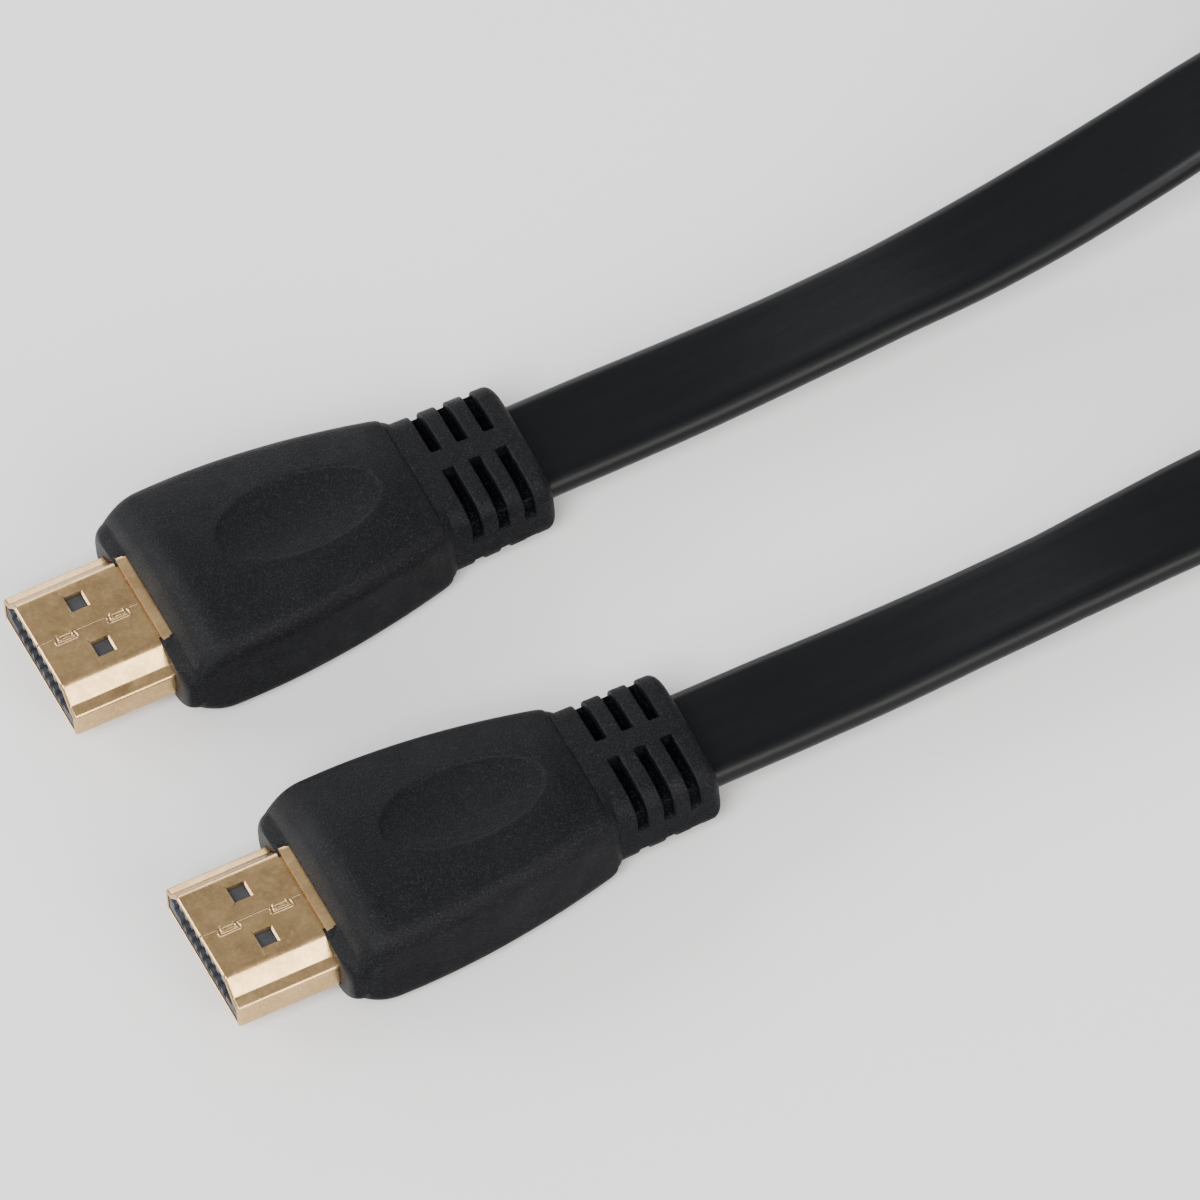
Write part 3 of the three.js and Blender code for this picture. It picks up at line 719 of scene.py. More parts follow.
def slotShare(along):
    # how far the surface lies towards the groove's floor at this place along the relief
    share = 0
    for row in range(relief["slotRows"]):
        middle = relief["slotFromGrip"] + row * relief["slotPitch"]
        beyond = abs(along - middle) - relief["slotWidth"] / 2
        easing = endRounding(beyond, relief["slotEdge"]) / relief["slotDepth"]
        share = max(share, 1 if beyond < 0 else easing)
    return share


def slotFloor(outline):
    # the grooves' floor is a plain box inside the rounded relief
    halfWidth = relief["width"] / 2 - relief["slotSideDepth"]
    halfHeight = (relief["heightFront"] + relief["heightBack"]) / 4 - relief["slotDepth"]
    low, high = grip["middle"] - halfHeight, grip["middle"] + halfHeight
    return np.column_stack([np.clip(outline[:, 0], -halfWidth, halfWidth),
                            np.clip(outline[:, 1], low, high)])


def easeIn(count):
    # shares from 0 to 1 that lie close together at first, for rings round a corner
    return 1 - np.cos(np.linspace(0, math.pi / 2, count))


def gripStations():
    front = grip["notchDepth"] * easeIn(grip["endRings"])
    back = grip["length"] - grip["backRound"] * easeIn(grip["endRings"])[::-1]
    middle = np.linspace(front[-1], back[0], grip["middleRings"])[1:-1]
    return np.concatenate([front, middle, back])


def reliefStations():
    stations = list(np.linspace(0.02, grip["sidesBehindTop"], relief["sideRings"]))
    half = relief["slotWidth"] / 2
    edge = half + relief["slotEdge"] * easeIn(relief["edgeRings"])
    inside = half - np.array(relief["slotInsets"])
    for row in range(relief["slotRows"]):
        middle = relief["slotFromGrip"] + row * relief["slotPitch"]
        for offset in (*edge, *inside):
            stations += [middle - offset, middle + offset]
        stations.append(middle)
    stations += list(relief["length"] - relief["backRound"] * easeIn(relief["endRings"]))
    return np.array(sorted(stations))


# the shell's outline, which the pocket in the grip follows too

shell = {
    "width": 13.9, "height": 4.45, "narrowHalf": 4.62, "shoulderHalf": 5.95, "bevelDrop": 1.5,
    "wallHeight": 2.6, "sheet": 0.35, "length": 16.2, "cornerSteps": 6,
    "topCorner": 0.85, "crease": 0.25, "wallCorner": 0.36, "corner": 0.45, "leastCorner": 0.08,
    "hole": 1.5, "holeChamfer": 0.16, "holeSharp": 0.03, "holeFromMouth": 4.8,
    "holeSpread": 5.15, "lip": 0.24, "lipAngles": (20, 45, 70), "innerEdge": (0.05, 0.06, 0.01),
    "tabs": (2.5, 7.25), "tabLength": 1.75, "tabReach": 0.72, "tabFlare": 0.12,
    "seamDepth": 0.06, "seamHalf": 0.02, "seamFade": 0.05, "grimeFrom": 0.04, "grimeTo": 0.11,
    "ridge": 0.065, "ridgeAway": 0.16, "ridgeWidth": 0.07, "ridgeAlong": (1.0, 1.2),
    "ridgeBelow": 0.1, "mark": (0.36, 0.15), "markSoft": 0.35,
    "fineHalf": 1.15, "columnEvery": 0.05, "rowEvery": 0.075, "fineFrom": 0.2, "fineUntil": 9.4,
    "besideFine": 1.4, "topOuterEnd": 3.6, "topInnerEnd": 3.45, "bottomColumns": (0.9, 4.6, 5.6),
    "backRows": (9.8, 12), "backEdge": 0.1,
}
hair = 1e-6     # mm, for comparing places


def shellCorners(inset):
    # half outline of the folded shell, top to bottom, moved inwards; y and z from the middle
    half, high = shell["width"] / 2, shell["height"] / 2
    corners = np.array([
        (0, high), (shell["narrowHalf"], high), (shell["shoulderHalf"], high - shell["bevelDrop"]),
        (half, shell["wallHeight"] - high), (half, -high), (0, -high),
    ])
    moved = []
    for i in range(1, len(corners) - 1):
        normals = []
        for a, b in ((corners[i - 1], corners[i]), (corners[i], corners[i + 1])):
            d = (b - a) / np.linalg.norm(b - a)
            normals.append(np.array([d[1], -d[0]]))
        bisector = normals[0] + normals[1]
        bisector /= np.linalg.norm(bisector)
        moved.append(corners[i] + bisector * inset / (bisector @ normals[0]))
    return np.array([(0, high - inset), *moved, (0, -high + inset)])


def filletArc(before, corner, after, radius, steps):
    a, b = before - corner, after - corner
    a, b = a / np.linalg.norm(a), b / np.linalg.norm(b)
    half = math.acos(np.clip(a @ b, -1, 1)) / 2
    centre = corner + (a + b) / np.linalg.norm(a + b) * radius / math.sin(half)
    start = corner + a * radius / math.tan(half) - centre
    end = corner + b * radius / math.tan(half) - centre
    turn = math.atan2(start[0] * end[1] - start[1] * end[0], start @ end)
    arc = []
    for angle in turn * np.linspace(0, 1, steps + 1):
        cos, sin = math.cos(angle), math.sin(angle)
        arc.append(centre + (start[0] * cos - start[1] * sin, start[0] * sin + start[1] * cos))
    return arc


def shellOutline(inset, topSpots, bottomSpots):
    corners = shellCorners(inset)
    radii = (shell["topCorner"] - inset, shell["crease"] + inset,
             shell["wallCorner"] - inset, shell["corner"] - inset)
    right = [(y, corners[0][1]) for y in topSpots]
    for i, radius in enumerate(radii, 1):
        right += filletArc(corners[i - 1], corners[i], corners[i + 1],
                           max(radius, shell["leastCorner"]), shell["cornerSteps"])
    right += [(y, corners[-1][1]) for y in sorted(bottomSpots, reverse=True)]
    right = np.array(right)
    left = right[::-1] * (-1, 1)
    return np.vstack([right, left[1:-1] if bottomSpots[0] == 0 else left])


def rayOutline(grow, angles):
    # the shell's outline grown outwards, met by rays from its middle
    outline = shellOutline(-grow, [0, 1, 2, 3], [0, 2, 4])
    closed = np.vstack([outline, outline[:1]])
    found = []
    for angle in angles:
        d = np.array([math.cos(angle), math.sin(angle)])
        best = None
        for a, b in zip(closed[:-1], closed[1:]):
            e = b - a
            det = e[0] * d[1] - e[1] * d[0]
            if abs(det) < 1e-12:
                continue
            along = (e[0] * a[1] - e[1] * a[0]) / det
            share = (d[0] * a[1] - d[1] * a[0]) / det
            if along > 0 and -1e-9 <= share <= 1 + 1e-9:
                best = along if best is None else max(best, along)
        found.append(d * best)
    return np.array(found) + (0, grip["middle"])


def thumbDish(points):
    # sinks the oval dish into the crown, with a crisp rim
    dx = (points[:, 0] - grip["reach"] - grip["ovalFromFront"]) / (grip["ovalLength"] / 2)
    dy = points[:, 1] / (grip["ovalWidth"] / 2)
    away = np.sqrt(dx ** 2 + dy ** 2)
    onTop = points[:, 2] > grip["middle"]
    rim = 1 - smoothstep(away, grip["ovalRimFrom"], 1.0)
    hollow = np.clip(1 - away ** 2, 0, 1)
    points[:, 2] -= onTop * (grip["ovalRim"] * rim + grip["ovalHollow"] * hollow)


def makeOvermold(name, shift):
    first, behindNotch = gripSection(0), gripSection(grip["notchDepth"])
    angles = np.arctan2(first[:, 1] - grip["middle"], first[:, 0])
    hug, room = rayOutline(grip["pocketHug"], angles), rayOutline(grip["pocketRoom"], angles)
    upper = room[:, 1] > grip["middle"] + grip["notchAbove"]
    notch = (upper & (np.abs(room[:, 0]) < grip["notchHalfWidth"])).astype(float)
    mouth = hug + (room - hug) * notch[:, None] * grip["notchRoom"]
    front = grip["reach"] + grip["notchDepth"] * notch
    first = np.where(notch[:, None] > 0.5, behindNotch, first)
    # grooves gathers how far each point lies towards a groove's floor, where the material paints
    # shade
    rings, grooves = [], []

    def addRing(x, outline, groove=0.0):
        rings.append(np.column_stack([np.broadcast_to(x, len(outline)), outline]))
        grooves.append(np.broadcast_to(groove, len(outline)))

    # from the pocket's bottom forwards to its lip, then out over the front face
    lip = grip["reach"] + grip["pocketLip"]
    addRing(grip["pocketEnd"], room)
    addRing(np.maximum(lip + 0.02, front + 0.05), room)
    addRing(np.maximum(lip, front + 0.03), mouth)
    addRing(front + 0.05, mouth)
    addRing(front + 0.01, mouth + (first - mouth) * 0.03)
    for share in grip["frontFace"]:
        addRing(front, mouth + (first - mouth) * share)
    # over the collar the front stands back, so rings in front of it close up there
    notchLine = grip["reach"] + grip["notchDepth"]
    for along in gripStations():
        held = (notch > 0.5) & (along < grip["notchDepth"])
        outline = np.where(held[:, None], behindNotch, gripSection(along))
        closed = notchLine + (along - grip["notchDepth"]) * 0.02
        addRing(np.where(held, closed, grip["reach"] + along), outline)
    start = grip["reach"] + grip["length"]
    for along in reliefStations():
        outline = reliefSection(along)
        cut = slotShare(along) * slotMask(outline)
        addRing(start + along, outline + (slotFloor(outline) - outline) * cut[:, None], cut)
    end = start + relief["length"]
    last = reliefSection(relief["length"])
    # the back face closes in on the cord, and the cord's hole ends inside the relief
    middle = np.array([0, grip["middle"] - relief["cordDrop"]])
    halfCord = np.array([cord["width"], cord["thickness"]]) / 2 + relief["cordRoom"]
    direction = last - middle
    socket = middle + direction / np.max(np.abs(direction) / halfCord, axis=1)[:, None]
    for share in relief["backFace"]:
        addRing(end, last + (socket - last) * share)
    addRing(end - relief["cordHoleEdge"], socket)
    addRing(end - relief["cordHole"], socket)
    around = len(first)
    points = np.vstack(rings)
    thumbDish(points)
    ends = [[grip["pocketEnd"], 0, grip["middle"]], [end - relief["cordHole"], *middle]]
    points = np.vstack([points, ends])
    faces = gridFaces(len(rings), around) + closeEnds(len(rings), around, len(points))
    piece = makeObject(name, points + shift, faces, gripMaterial, sharpAngle=38)
    # painted shade: this mask takes the sheen off the grooves' floors
    paintMask(piece, "paintedGrooveShade", np.concatenate([*grooves, (0, 0)]))
    return piece


# folded metal shell


def seamPath():
    # the line where the folded sheet meets, with its two dovetail tabs
    points = [(-1, 0)]
    for middle in shell["tabs"]:
        half, flare = shell["tabLength"] / 2, shell["tabFlare"]
        points += [(middle - half + flare, 0), (middle - half, -shell["tabReach"]),
                   (middle + half, -shell["tabReach"]), (middle + half - flare, 0)]
    return np.array(points + [(shell["length"] + 1, 0)])


def distanceToPath(spots, path):
    best = np.full(len(spots), np.inf)
    for a, b in zip(path[:-1], path[1:]):
        d = b - a
        share = np.clip(((spots - a) @ d) / (d @ d), 0, 1)
        best = np.minimum(best, np.linalg.norm(spots - a - share[:, None] * d, axis=1))
    return best


def holePlace():
    # from the middle to a hole's own middle, its half size on the outer skin, and its ends
    reach = shell["hole"] / 2 + shell["holeChamfer"]
    fromMouth = shell["holeFromMouth"]
    return shell["holeSpread"] / 2, reach, fromMouth - reach, fromMouth + reach


def shellOutlines():
    # outer and inner outline, with fine columns for the seam and some on the holes' edges
    mid, reach, _, _ = holePlace()
    half = shell["hole"] / 2
    fine = list(np.arange(0, shell["fineHalf"] + 0.01, shell["columnEvery"]))
    fine.append(shell["besideFine"])
    wide, narrow = (mid - reach, mid, mid + reach), (mid - half, mid, mid + half)
    inMiddle, *beyond = shell["bottomColumns"]
    outer = shellOutline(0, [*fine, *wide, shell["topOuterEnd"]], [0, inMiddle, *wide, *beyond])
    inner = shellOutline(shell["sheet"], [*fine, *narrow, shell["topInnerEnd"]],
                         [0, inMiddle, *narrow, *beyond])
    return outer, inner


def shellRows():
    # places along the outer and the inner skin, and which of them cross the holes
    _, _, low, high = holePlace()
    chamfer = shell["holeChamfer"]
    steps = list(np.arange(shell["fineFrom"], shell["fineUntil"], shell["rowEvery"]))
    steps = [x for x in steps if min(abs(x - low), abs(x - high)) > shell["rowEvery"] / 2]
    backRows = [*shell["backRows"], shell["length"] - shell["backEdge"]]
    outer = np.array(sorted([*steps, low, high, *backRows]))
    inHole = (outer >= low - hair) & (outer <= high + hair)
    inner = outer.copy()
    inner[inHole] = np.interp(outer[inHole], [low, high], [low + chamfer, high - chamfer])
    return outer, inner, np.flatnonzero(inHole).tolist()


def pressSeam(points, outerPoints):
    # presses the seam and its tabs into the outer top face, and returns where grime lies in it
    top = (points[:, 2] > shell["height"] / 2 - 0.2) & (np.abs(points[:, 1]) < shell["fineHalf"])
    top &= np.arange(len(points)) < outerPoints
    along, across = points[top][:, 0], points[top][:, 1]
    away = distanceToPath(points[top][:, :2], seamPath())
    nearTab = np.zeros(len(away))
    for middle in shell["tabs"]:
        nearTab = np.maximum(nearTab, 1 - smoothstep(np.abs(along - middle), *shell["ridgeAlong"]))
    groove = 1 - smoothstep(away, shell["seamHalf"], shell["seamHalf"] + shell["seamFade"])
    ridge = np.exp(-((away - shell["ridgeAway"]) / shell["ridgeWidth"]) ** 2)
    ridge *= nearTab * (across < shell["ridgeBelow"])
    for middle in shell["tabs"]:
        # a small pressed staple mark in the tab's middle
        box = np.maximum(np.abs(along - middle) / shell["mark"][0],
                         np.abs(across + shell["tabReach"] / 2) / shell["mark"][1])
        ridge = np.maximum(ridge, np.exp(-((box - 1) / shell["markSoft"]) ** 2))
    points[top, 2] += shell["ridge"] * ridge - shell["seamDepth"] * groove
    seamDarkAndPaintedShade = np.zeros(len(points))
    seamDarkAndPaintedShade[top] = 1 - smoothstep(away, shell["grimeFrom"], shell["grimeTo"])
    return seamDarkAndPaintedShade


def sharpenHoles(points, outerPoints):
    # the punched holes keep a wide soft edge towards the plug's back and its -y side only
    mid, reach, low, high = holePlace()
    tighten = shell["holeChamfer"] - shell["holeSharp"]
    onOuter = np.arange(len(points)) < outerPoints
    onOuter &= np.abs(np.abs(points[:, 2]) - shell["height"] / 2) < 0.01
    for side in (-1, 1):
        nearHole = onOuter & (np.abs(points[:, 1] - side * mid) < reach + hair)
        nearHole &= (points[:, 0] > low - hair) & (points[:, 0] < high + hair)
        points[nearHole & (points[:, 0] < low + hair), 0] += tighten
        points[nearHole & (points[:, 1] > side * mid + reach - hair), 1] -= tighten


def holeColumns(outline):
    # first and last column of points at each of the four holes, and whether it is an upper one
    mid, reach, _, _ = holePlace()
    flat = np.abs(np.abs(outline[:, 1]) - shell["height"] / 2) < 0.01
    holes = []
    for side in (-1, 1):
        for upper in (True, False):
            across = np.abs(outline[:, 0] - side * mid) <= reach + hair
            columns = np.flatnonzero(flat & across & ((outline[:, 1] > 0) == upper))
            holes.append((int(columns[0]), int(columns[-1]), upper))
    return holes


def makeShell(name, shift):
    outer, inner = shellOutlines()
    rowsOuter, rowsInner, rowsIn = shellRows()
    around = len(outer)
    rings = []

    def addRing(x, inset):
        # inset runs from 0 on the outer skin to the sheet's thickness on the inner one
        outline = outer + (inner - outer) * (inset / shell["sheet"])
        rings.append(np.column_stack([np.full(around, x), outline]))

    # back to front along the outer skin, round the mouth's rolled lip, and back inside
    lip, thick = shell["lip"], shell["sheet"]
    for x in rowsOuter[::-1]:
        addRing(x, 0)
    outerCount = len(rings)
    for angle in np.radians(shell["lipAngles"]):
        addRing(lip * (1 - math.sin(angle)), lip * (1 - math.cos(angle)))
    into, before, after = shell["innerEdge"]
    for x, inset in ((0, lip), (0, thick - before), (into, thick - after)):
        addRing(x, inset)
    innerStart = len(rings)
    for x in rowsInner:
        addRing(x, thick)
    points = np.vstack(rings)
    sharpenHoles(points, outerCount * around)
    seamDarkAndPaintedShade = pressSeam(points, innerStart * around)
    points[:, 2] += grip["middle"]

    holes = holeColumns(outer)
    rowA, rowB = outerCount - 1 - rowsIn[-1], outerCount - 1 - rowsIn[0]
    innerLow, innerHigh = innerStart + rowsIn[0], innerStart + rowsIn[-1]

    def inAnyHole(i, j):
        inRows = rowA <= i < rowB or innerLow <= i < innerHigh
        return inRows and any(first <= j < final for first, final, _ in holes)

    faces = gridFaces(len(rings), around, skip=inAnyHole)
    extra = []
    for first, final, upper in holes:
        # walk round the hole on the outer grid and on the inner grid alike
        loop = [(rowA, j) for j in range(first, final)]
        loop += [(i, final) for i in range(rowA, rowB)]
        loop += [(rowB, j) for j in range(final, first, -1)]
        loop += [(i, first) for i in range(rowB, rowA, -1)]
        outerLoop = [i * around + j for i, j in loop]
        innerLoop = [(innerLow + (rowB - i)) * around + j for i, j in loop]
        middleLoop = []
        for a, b in zip(outerLoop, innerLoop):
            drop = -shell["holeChamfer"] if upper else shell["holeChamfer"]
            middleLoop.append(len(points) + len(extra))
            extra.append([points[b][0], points[b][1], points[a][2] + drop])
        count = len(loop)
        for k in range(count):
            n = (k + 1) % count
            faces.append((outerLoop[k], outerLoop[n], middleLoop[n], middleLoop[k]))
            faces.append((middleLoop[k], middleLoop[n], innerLoop[n], innerLoop[k]))
    points = np.vstack([points, extra])
    # the back rim joins the outer and the inner skin
    faces += joinRings(around, 0, (len(rings) - 1) * around)
    piece = makeObject(name, points + shift, faces, goldMaterial, sharpAngle=30)
    paintMask(piece, "seamDarkAndPaintedShade", np.concatenate([seamDarkAndPaintedShade, np.zeros(len(extra))]))
    return piece


# collar

collar = {
    "front": 9.4, "length": 8, "gap": 0.1, "sheet": 0.35, "lip": 0.05, "rows": (3, 1.5, 0.5),
    "topColumns": (0, 1, 2, 3, 3.6), "bottomColumns": (0, 2, 4, 5.6),
    "frontPaintedShadow": 0.85, "darkening": 0.15,
}


def makeCollar(name, shift):
    columns = collar["topColumns"], collar["bottomColumns"]
    outer = shellOutline(-collar["gap"] - collar["sheet"], *columns)
    inner = shellOutline(-collar["gap"], *columns)
    around = len(outer)
    front, lip = collar["front"], collar["lip"]
    ease = lip / collar["sheet"]
    back = front + collar["length"]
    # places along the collar, each with its share of the way from the outer to the inner skin
    stations = [(back, 0)] + [(front + x, 0) for x in (*collar["rows"], lip)]
    stations += [(front + lip * 0.3, ease * 0.3), (front, ease), (front, 1 - ease)]
    stations += [(front + lip, 1), (back, 1)]
    rings = []
    for x, share in stations:
        ring = outer + (inner - outer) * share
        rings.append(np.column_stack([np.full(around, x), ring[:, 0], ring[:, 1] + grip["middle"]]))
    points = np.vstack(rings)
    faces = gridFaces(len(rings), around) + joinRings(around, 0, (len(rings) - 1) * around)
    piece = makeObject(name, points + shift, faces, goldMaterial)
    # painted shade: the collar is darker and less metallic than the shell where it sits inside the
    # grip's mouth, with a painted shadow line along its front lip
    inFront = points[:, 0] < front + lip / 2
    paintMask(piece, "seamDarkAndPaintedShade", np.where(inFront, collar["frontPaintedShadow"], collar["darkening"]))
    return piece


# insulator, from the CAD's own solid with its edges eased

insulator = {"edge": 0.05, "steps": 2, "edgesFrom": 40, "flatWithin": 1, "weld": 1e-6}


def makeInsulator(name, node):
    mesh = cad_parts[node].data.copy()
    mesh.name = name
    body = bmesh.new()
    body.from_mesh(mesh)
    bmesh.ops.remove_doubles(body, verts=body.verts, dist=insulator["weld"])
    bmesh.ops.dissolve_limit(body, angle_limit=math.radians(insulator["flatWithin"]),
                             verts=body.verts, edges=body.edges)
    body.to_mesh(mesh)
    body.free()
    mesh.materials.clear()
    mesh.materials.append(insulatorMaterial)
    piece = bpy.data.objects.new(name, mesh)
    bpy.context.scene.collection.objects.link(piece)
    bevel = piece.modifiers.new("easedEdges", "BEVEL")
    bevel.width = insulator["edge"] * mm
    bevel.segments = insulator["steps"]
    bevel.limit_method = "ANGLE"
    bevel.angle_limit = math.radians(insulator["edgesFrom"])
    return applyModifiers(piece)


def applyModifiers(piece, sharpAngle=35):
    evaluated = piece.evaluated_get(bpy.context.evaluated_depsgraph_get())
    mesh = bpy.data.meshes.new_from_object(evaluated)
    mesh.name = piece.name
    piece.modifiers.clear()
    piece.data = mesh
    finishShading(mesh, sharpAngle)
    return piece


# contacts: one strip, repeated by Geometry Nodes

contact = {
    "above": 10, "below": 9, "pitch": 1, "width": 0.4, "thickness": 0.3, "ease": 0.05,
    "front": 0.72, "back": 15.72, "inner": 0.73, "lead": 0.12, "noseLength": 0.8, "noseSteps": 6,
}


def makeContactStrip():
    # one contact above the slot: its nose curls up a little, its long edges are eased
    half, thick, ease = contact["width"] / 2, contact["thickness"], contact["ease"]
    section = [(-half + ease, 0), (half - ease, 0), (half, ease), (half, thick - ease),
               (half - ease, thick), (-half + ease, thick), (-half, thick - ease), (-half, ease)]
    stations = [(contact["front"] + share * contact["noseLength"],
                 contact["lead"] * (1 - share) ** 2)
                for share in np.linspace(0, 1, contact["noseSteps"])]
    stations.append((contact["back"], 0))
    points = []
    for x, lift in stations:
        for y, z in section:
            points.append((x, y, contact["inner"] + lift + z * (1 - lift)))
    around = len(section)
    faces = gridFaces(len(stations), around)
    faces.append(tuple(range(around - 1, -1, -1)))
    faces.append(tuple(range(len(points) - around, len(points))))
    return points, faces


def newTree(name, inputs):
    # a geometry tree that ends by making its copies real and giving them their material
    tree = bpy.data.node_groups.new(name, "GeometryNodeTree")
    addInputs(tree, [*inputs, ("Material", "NodeSocketMaterial", None)])
    tree.interface.new_socket("Geometry", in_out="OUTPUT", socket_type="NodeSocketGeometry")
    given, out = tree.nodes.new("NodeGroupInput"), tree.nodes.new("NodeGroupOutput")
    join = tree.nodes.new("GeometryNodeJoinGeometry")
    real = addNode(tree, "GeometryNodeRealizeInstances", Geometry=join.outputs[0])
    paint = addNode(tree, "GeometryNodeSetMaterial", Geometry=real.outputs[0],
                    Material=given.outputs["Material"])
    tree.links.new(paint.outputs[0], out.inputs[0])
    return tree, given, join


def makeRowTree():
    # a row of copies above the slot, and one turned over below it
    tree, given, join = newTree("contactRows", [
        ("Geometry", "NodeSocketGeometry", None), ("Above", "NodeSocketInt", 10),
        ("Below", "NodeSocketInt", 9), ("Pitch", "NodeSocketFloat", 0.001),
    ])
    for label, turn in (("Above", 0.0), ("Below", math.pi)):
        less = addMath(tree, "SUBTRACT", given.outputs[label], 1.0)
        width = addMath(tree, "MULTIPLY", less, given.outputs["Pitch"])
        start = addNode(tree, "ShaderNodeCombineXYZ", Y=addMath(tree, "MULTIPLY", width, -0.5))
        step = addNode(tree, "ShaderNodeCombineXYZ", Y=given.outputs["Pitch"])
        line = addNode(tree, "GeometryNodeMeshLine", {"mode": "OFFSET"}, Count=given.outputs[label],
                       Start_Location=start.outputs[0], Offset=step.outputs[0])
        place = addNode(tree, "GeometryNodeInstanceOnPoints", Points=line.outputs[0],
                        Instance=given.outputs["Geometry"], Rotation=(turn, 0, 0))
        tree.links.new(place.outputs[0], join.inputs[0])
    return tree


rowTree = makeRowTree()


def runTree(piece, tree, values):
    # sets the tree's named inputs by identifier, then keeps its result as a plain mesh
    modifier = piece.modifiers.new(tree.name, "NODES")
    modifier.node_group = tree
    names = {item.name: item.identifier for item in tree.interface.items_tree
             if item.item_type == "SOCKET" and item.in_out == "INPUT"}
    for label, value in values.items():
        modifier[names[label]] = value
    return applyModifiers(piece)


def makeContacts(name, shift):
    points, faces = makeContactStrip()
    piece = makeObject(name, points, faces, contactMaterial)
    runTree(piece, rowTree, {"Above": contact["above"], "Below": contact["below"],
                             "Pitch": contact["pitch"] * mm, "Material": contactMaterial})
    piece.data.transform(Matrix.Translation(Vector((shift[0], shift[1], grip["middle"])) * mm))
    return piece


plugs = {"A": (-21.82, 16.5, 0), "B": (-22.68, -16.5, 0)}      # where each mouth lies, in mm
contactCount = contact["above"] + contact["below"]
for letter, shift in plugs.items():
    shift = np.array(shift)
    node = "plug_" + letter.lower()
    setPiece(makeOvermold(f"plug{letter}Overmold", shift), "overmold", f"{node}_overmold")
    setPiece(makeShell(f"plug{letter}Shell", shift), "shell_gold", f"{node}_shell")
    setPiece(makeCollar(f"plug{letter}Collar", shift), "shell_gold", f"{node}_collar")
    setPiece(makeInsulator(f"plug{letter}Insulator", f"{node}_insulator"), "insulator",
             f"{node}_insulator")
    setPiece(makeContacts(f"plug{letter}Contacts", shift), "contact_gold",
             *[f"{node}_contact_{i + 1:02d}" for i in range(contactCount)])
    print("plug", letter + ": done")

# ties round the coil

tie = {
    "width": 4, "thickness": 0.8, "top": 11.4, "cornerRadius": 1.6, "cornerSteps": 8,
    # across and height above the inner face, from the middle outwards, with a raised rib
    "section": ((0, 0.55), (0.6, 0.58), (1.24, 0.8), (1.85, 0.58), (2, 0.5), (2, 0.1), (1.9, 0)),
    "tailLength": 13, "tailRadius": 1.3, "tailRibbon": 0.62, "tailTurns": 3.5, "tailSteps": 72,
    "tailLift": 1.04, "spiralSteps": 24, "ribbonSteps": 10,
}


def makeTailTree():
    # two ribbons turned about one line
    tree, given, join = newTree("twistedTail", [
        ("Length", "NodeSocketFloat", 0.013), ("Radius", "NodeSocketFloat", 0.0013),
        ("Turns", "NodeSocketFloat", 3.0), ("Steps", "NodeSocketInt", 72),
        ("Ribbon", "NodeSocketFloat", 0.0005),
    ])
    radius = addMath(tree, "SUBTRACT", given.outputs["Radius"], given.outputs["Ribbon"])
    for turn in (0.0, math.pi):
        spiral = addNode(tree, "GeometryNodeCurveSpiral", Resolution=tie["spiralSteps"],
                         Rotations=given.outputs["Turns"], Height=given.outputs["Length"],
                         Start_Radius=radius, End_Radius=radius)
        even = addNode(tree, "GeometryNodeResampleCurve", Curve=spiral.outputs[0],
                       Count=given.outputs["Steps"])
        profile = addNode(tree, "GeometryNodeCurvePrimitiveCircle", Resolution=tie["ribbonSteps"],
                          Radius=given.outputs["Ribbon"])
        strip = addNode(tree, "GeometryNodeCurveToMesh", Curve=even.outputs[0],
                        Profile_Curve=profile.outputs[0], Fill_Caps=True)
        turned = addNode(tree, "GeometryNodeTransform", Geometry=strip.outputs[0],
                         Rotation=(0, 0, turn))
        tree.links.new(turned.outputs[0], join.inputs[0])
    return tree


tailTree = makeTailTree()


def makeTie(name, node):
    # a flat tie from the floor round the coil, as wide as the CAD's, with its ends twisted
    low, high = (np.array(corner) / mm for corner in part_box(node))
    x = low[0] + tie["width"] / 2
    middle = (low[1] + high[1]) / 2, tie["top"] / 2
    halfSize = (high[1] - low[1]) / 2, tie["top"] / 2
    radius = tie["cornerRadius"]
    section = [(-across, out) for across, out in tie["section"][:0:-1]] + list(tie["section"])
    points = []
    for qy, qz, start in ((1, 1, 0), (-1, 1, 90), (-1, -1, 180), (1, -1, 270)):
        for step in range(tie["cornerSteps"] + 1):
            angle = math.radians(start + 90 * step / tie["cornerSteps"])
            y, z = middle[0] + qy * (halfSize[0] - radius), middle[1] + qz * (halfSize[1] - radius)
            for across, out in section:
                reach = radius - tie["thickness"] + out
                points.append((x + across, y + math.cos(angle) * reach,
                               z + math.sin(angle) * reach))
    around = len(section)
    faces = gridFaces(len(points) // around, around) + joinRings(around, len(points) - around, 0)
    band = makeObject(name, points, faces, tieMaterial, sharpAngle=50)
    tail = makeObject(name + "Tail", [(0, 0, 0)], [], tieMaterial, recalculate=False)
    runTree(tail, tailTree, {
        "Length": tie["tailLength"] * mm, "Radius": tie["tailRadius"] * mm,
        "Turns": tie["tailTurns"], "Steps": tie["tailSteps"], "Ribbon": tie["tailRibbon"] * mm,
        "Material": tieMaterial,
    })
    place = Vector((x - tie["width"] / 2, middle[0], tie["top"] + tie["tailLift"])) * mm
    tail.data.transform(Matrix.Translation(place) @ Matrix.Rotation(math.pi / 2, 4, "Y"))
    joined = bmesh.new()
    joined.from_mesh(band.data)
    joined.from_mesh(tail.data)
    joined.to_mesh(band.data)
    joined.free()
    bpy.data.objects.remove(tail)
    finishShading(band.data, 50)
    return band


for letter in "AB":
    piece = makeTie(f"tie{letter}", f"tie_{letter.lower()}")
    setPiece(piece, "tie", f"tie_{letter.lower()}")
print("ties: done")

setPiece(flatCord, "cord", "cord_strand_a", "cord_strand_b", "cord_coil")

# floor and light

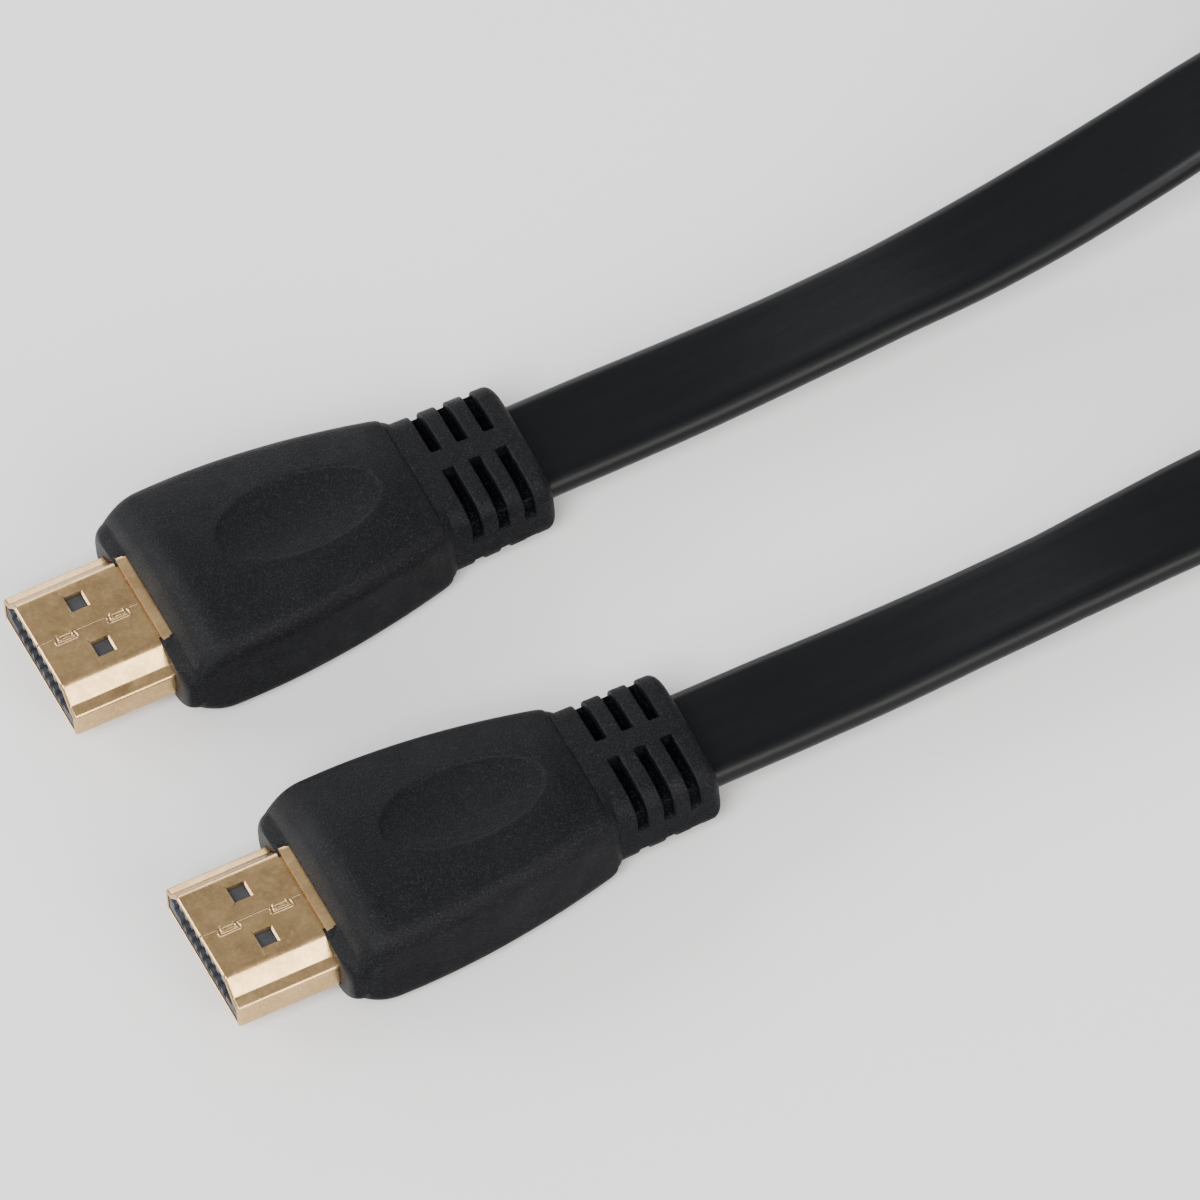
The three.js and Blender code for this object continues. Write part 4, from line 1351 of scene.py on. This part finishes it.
stage = {
    "floorSize": 12, "floorDrop": 0.0002, "floorColour": (0.86, 0.86, 0.86), "floorUneven": 0.99,
    "patches": 3.0, "plain": {"Roughness": 0.7, "Metallic": 0.0, "Specular IOR Level": 0.2},
    "world": (1.0, 1.0, 1.0), "worldStrength": 0.5, "lampsFace": (0.02, 0, 0),
    # name: place in metres, size, power in watts, colour
    "lights": {
        "nearSoft": ((0.28, -1.15, 0.62), 0.8, 14.0, (1, 0.96, 0.9)),
        "backLeft": ((-1.15, 0.85, 0.65), 1.0, 20.0, (1, 1, 1)),
        "far": ((0.3, 1.35, 0.55), 0.8, 6.0, (1, 1, 1)),
        "high": ((-1.0, -1.1, 1.8), 1.2, 70.0, (1, 1, 1)),
    },
}


def makeStage():
    half = stage["floorSize"] / 2
    mesh = bpy.data.meshes.new("floor")
    corners = [(-half, -half, 0), (half, -half, 0), (half, half, 0), (-half, half, 0)]
    mesh.from_pydata(corners, [], [(0, 1, 2, 3)])
    floor = bpy.data.objects.new("floor", mesh)
    bpy.context.scene.collection.objects.link(floor)
    floor.location.z = -stage["floorDrop"]
    material, tree, surface, spot = newMaterial("paleFloor", stage)
    darker = tuple(value * stage["floorUneven"] for value in stage["floorColour"])
    patches = patchesOf(tree, spot, stage["patches"])
    colour = blendColours(tree, patches, stage["floorColour"], darker)
    feed(tree, surface, Base_Color=colour)
    mesh.materials.append(material)
    world = bpy.data.worlds.new("softWorld")
    world.use_nodes = True
    background = world.node_tree.nodes["Background"]
    background.inputs["Color"].default_value = (*stage["world"], 1)
    background.inputs["Strength"].default_value = stage["worldStrength"]
    bpy.context.scene.world = world
    for name, (place, size, power, colour) in stage["lights"].items():
        data = bpy.data.lights.new(name, "AREA")
        data.energy, data.color = power, colour
        data.shape = "DISK"
        data.size = size
        lamp = bpy.data.objects.new(name, data)
        lamp.location = place
        aim = Vector(stage["lampsFace"]) - Vector(place)
        lamp.rotation_euler = aim.to_track_quat("-Z", "Y").to_euler()
        lamp.visible_camera = False
        bpy.context.scene.collection.objects.link(lamp)


makeStage()
print("stage: done")
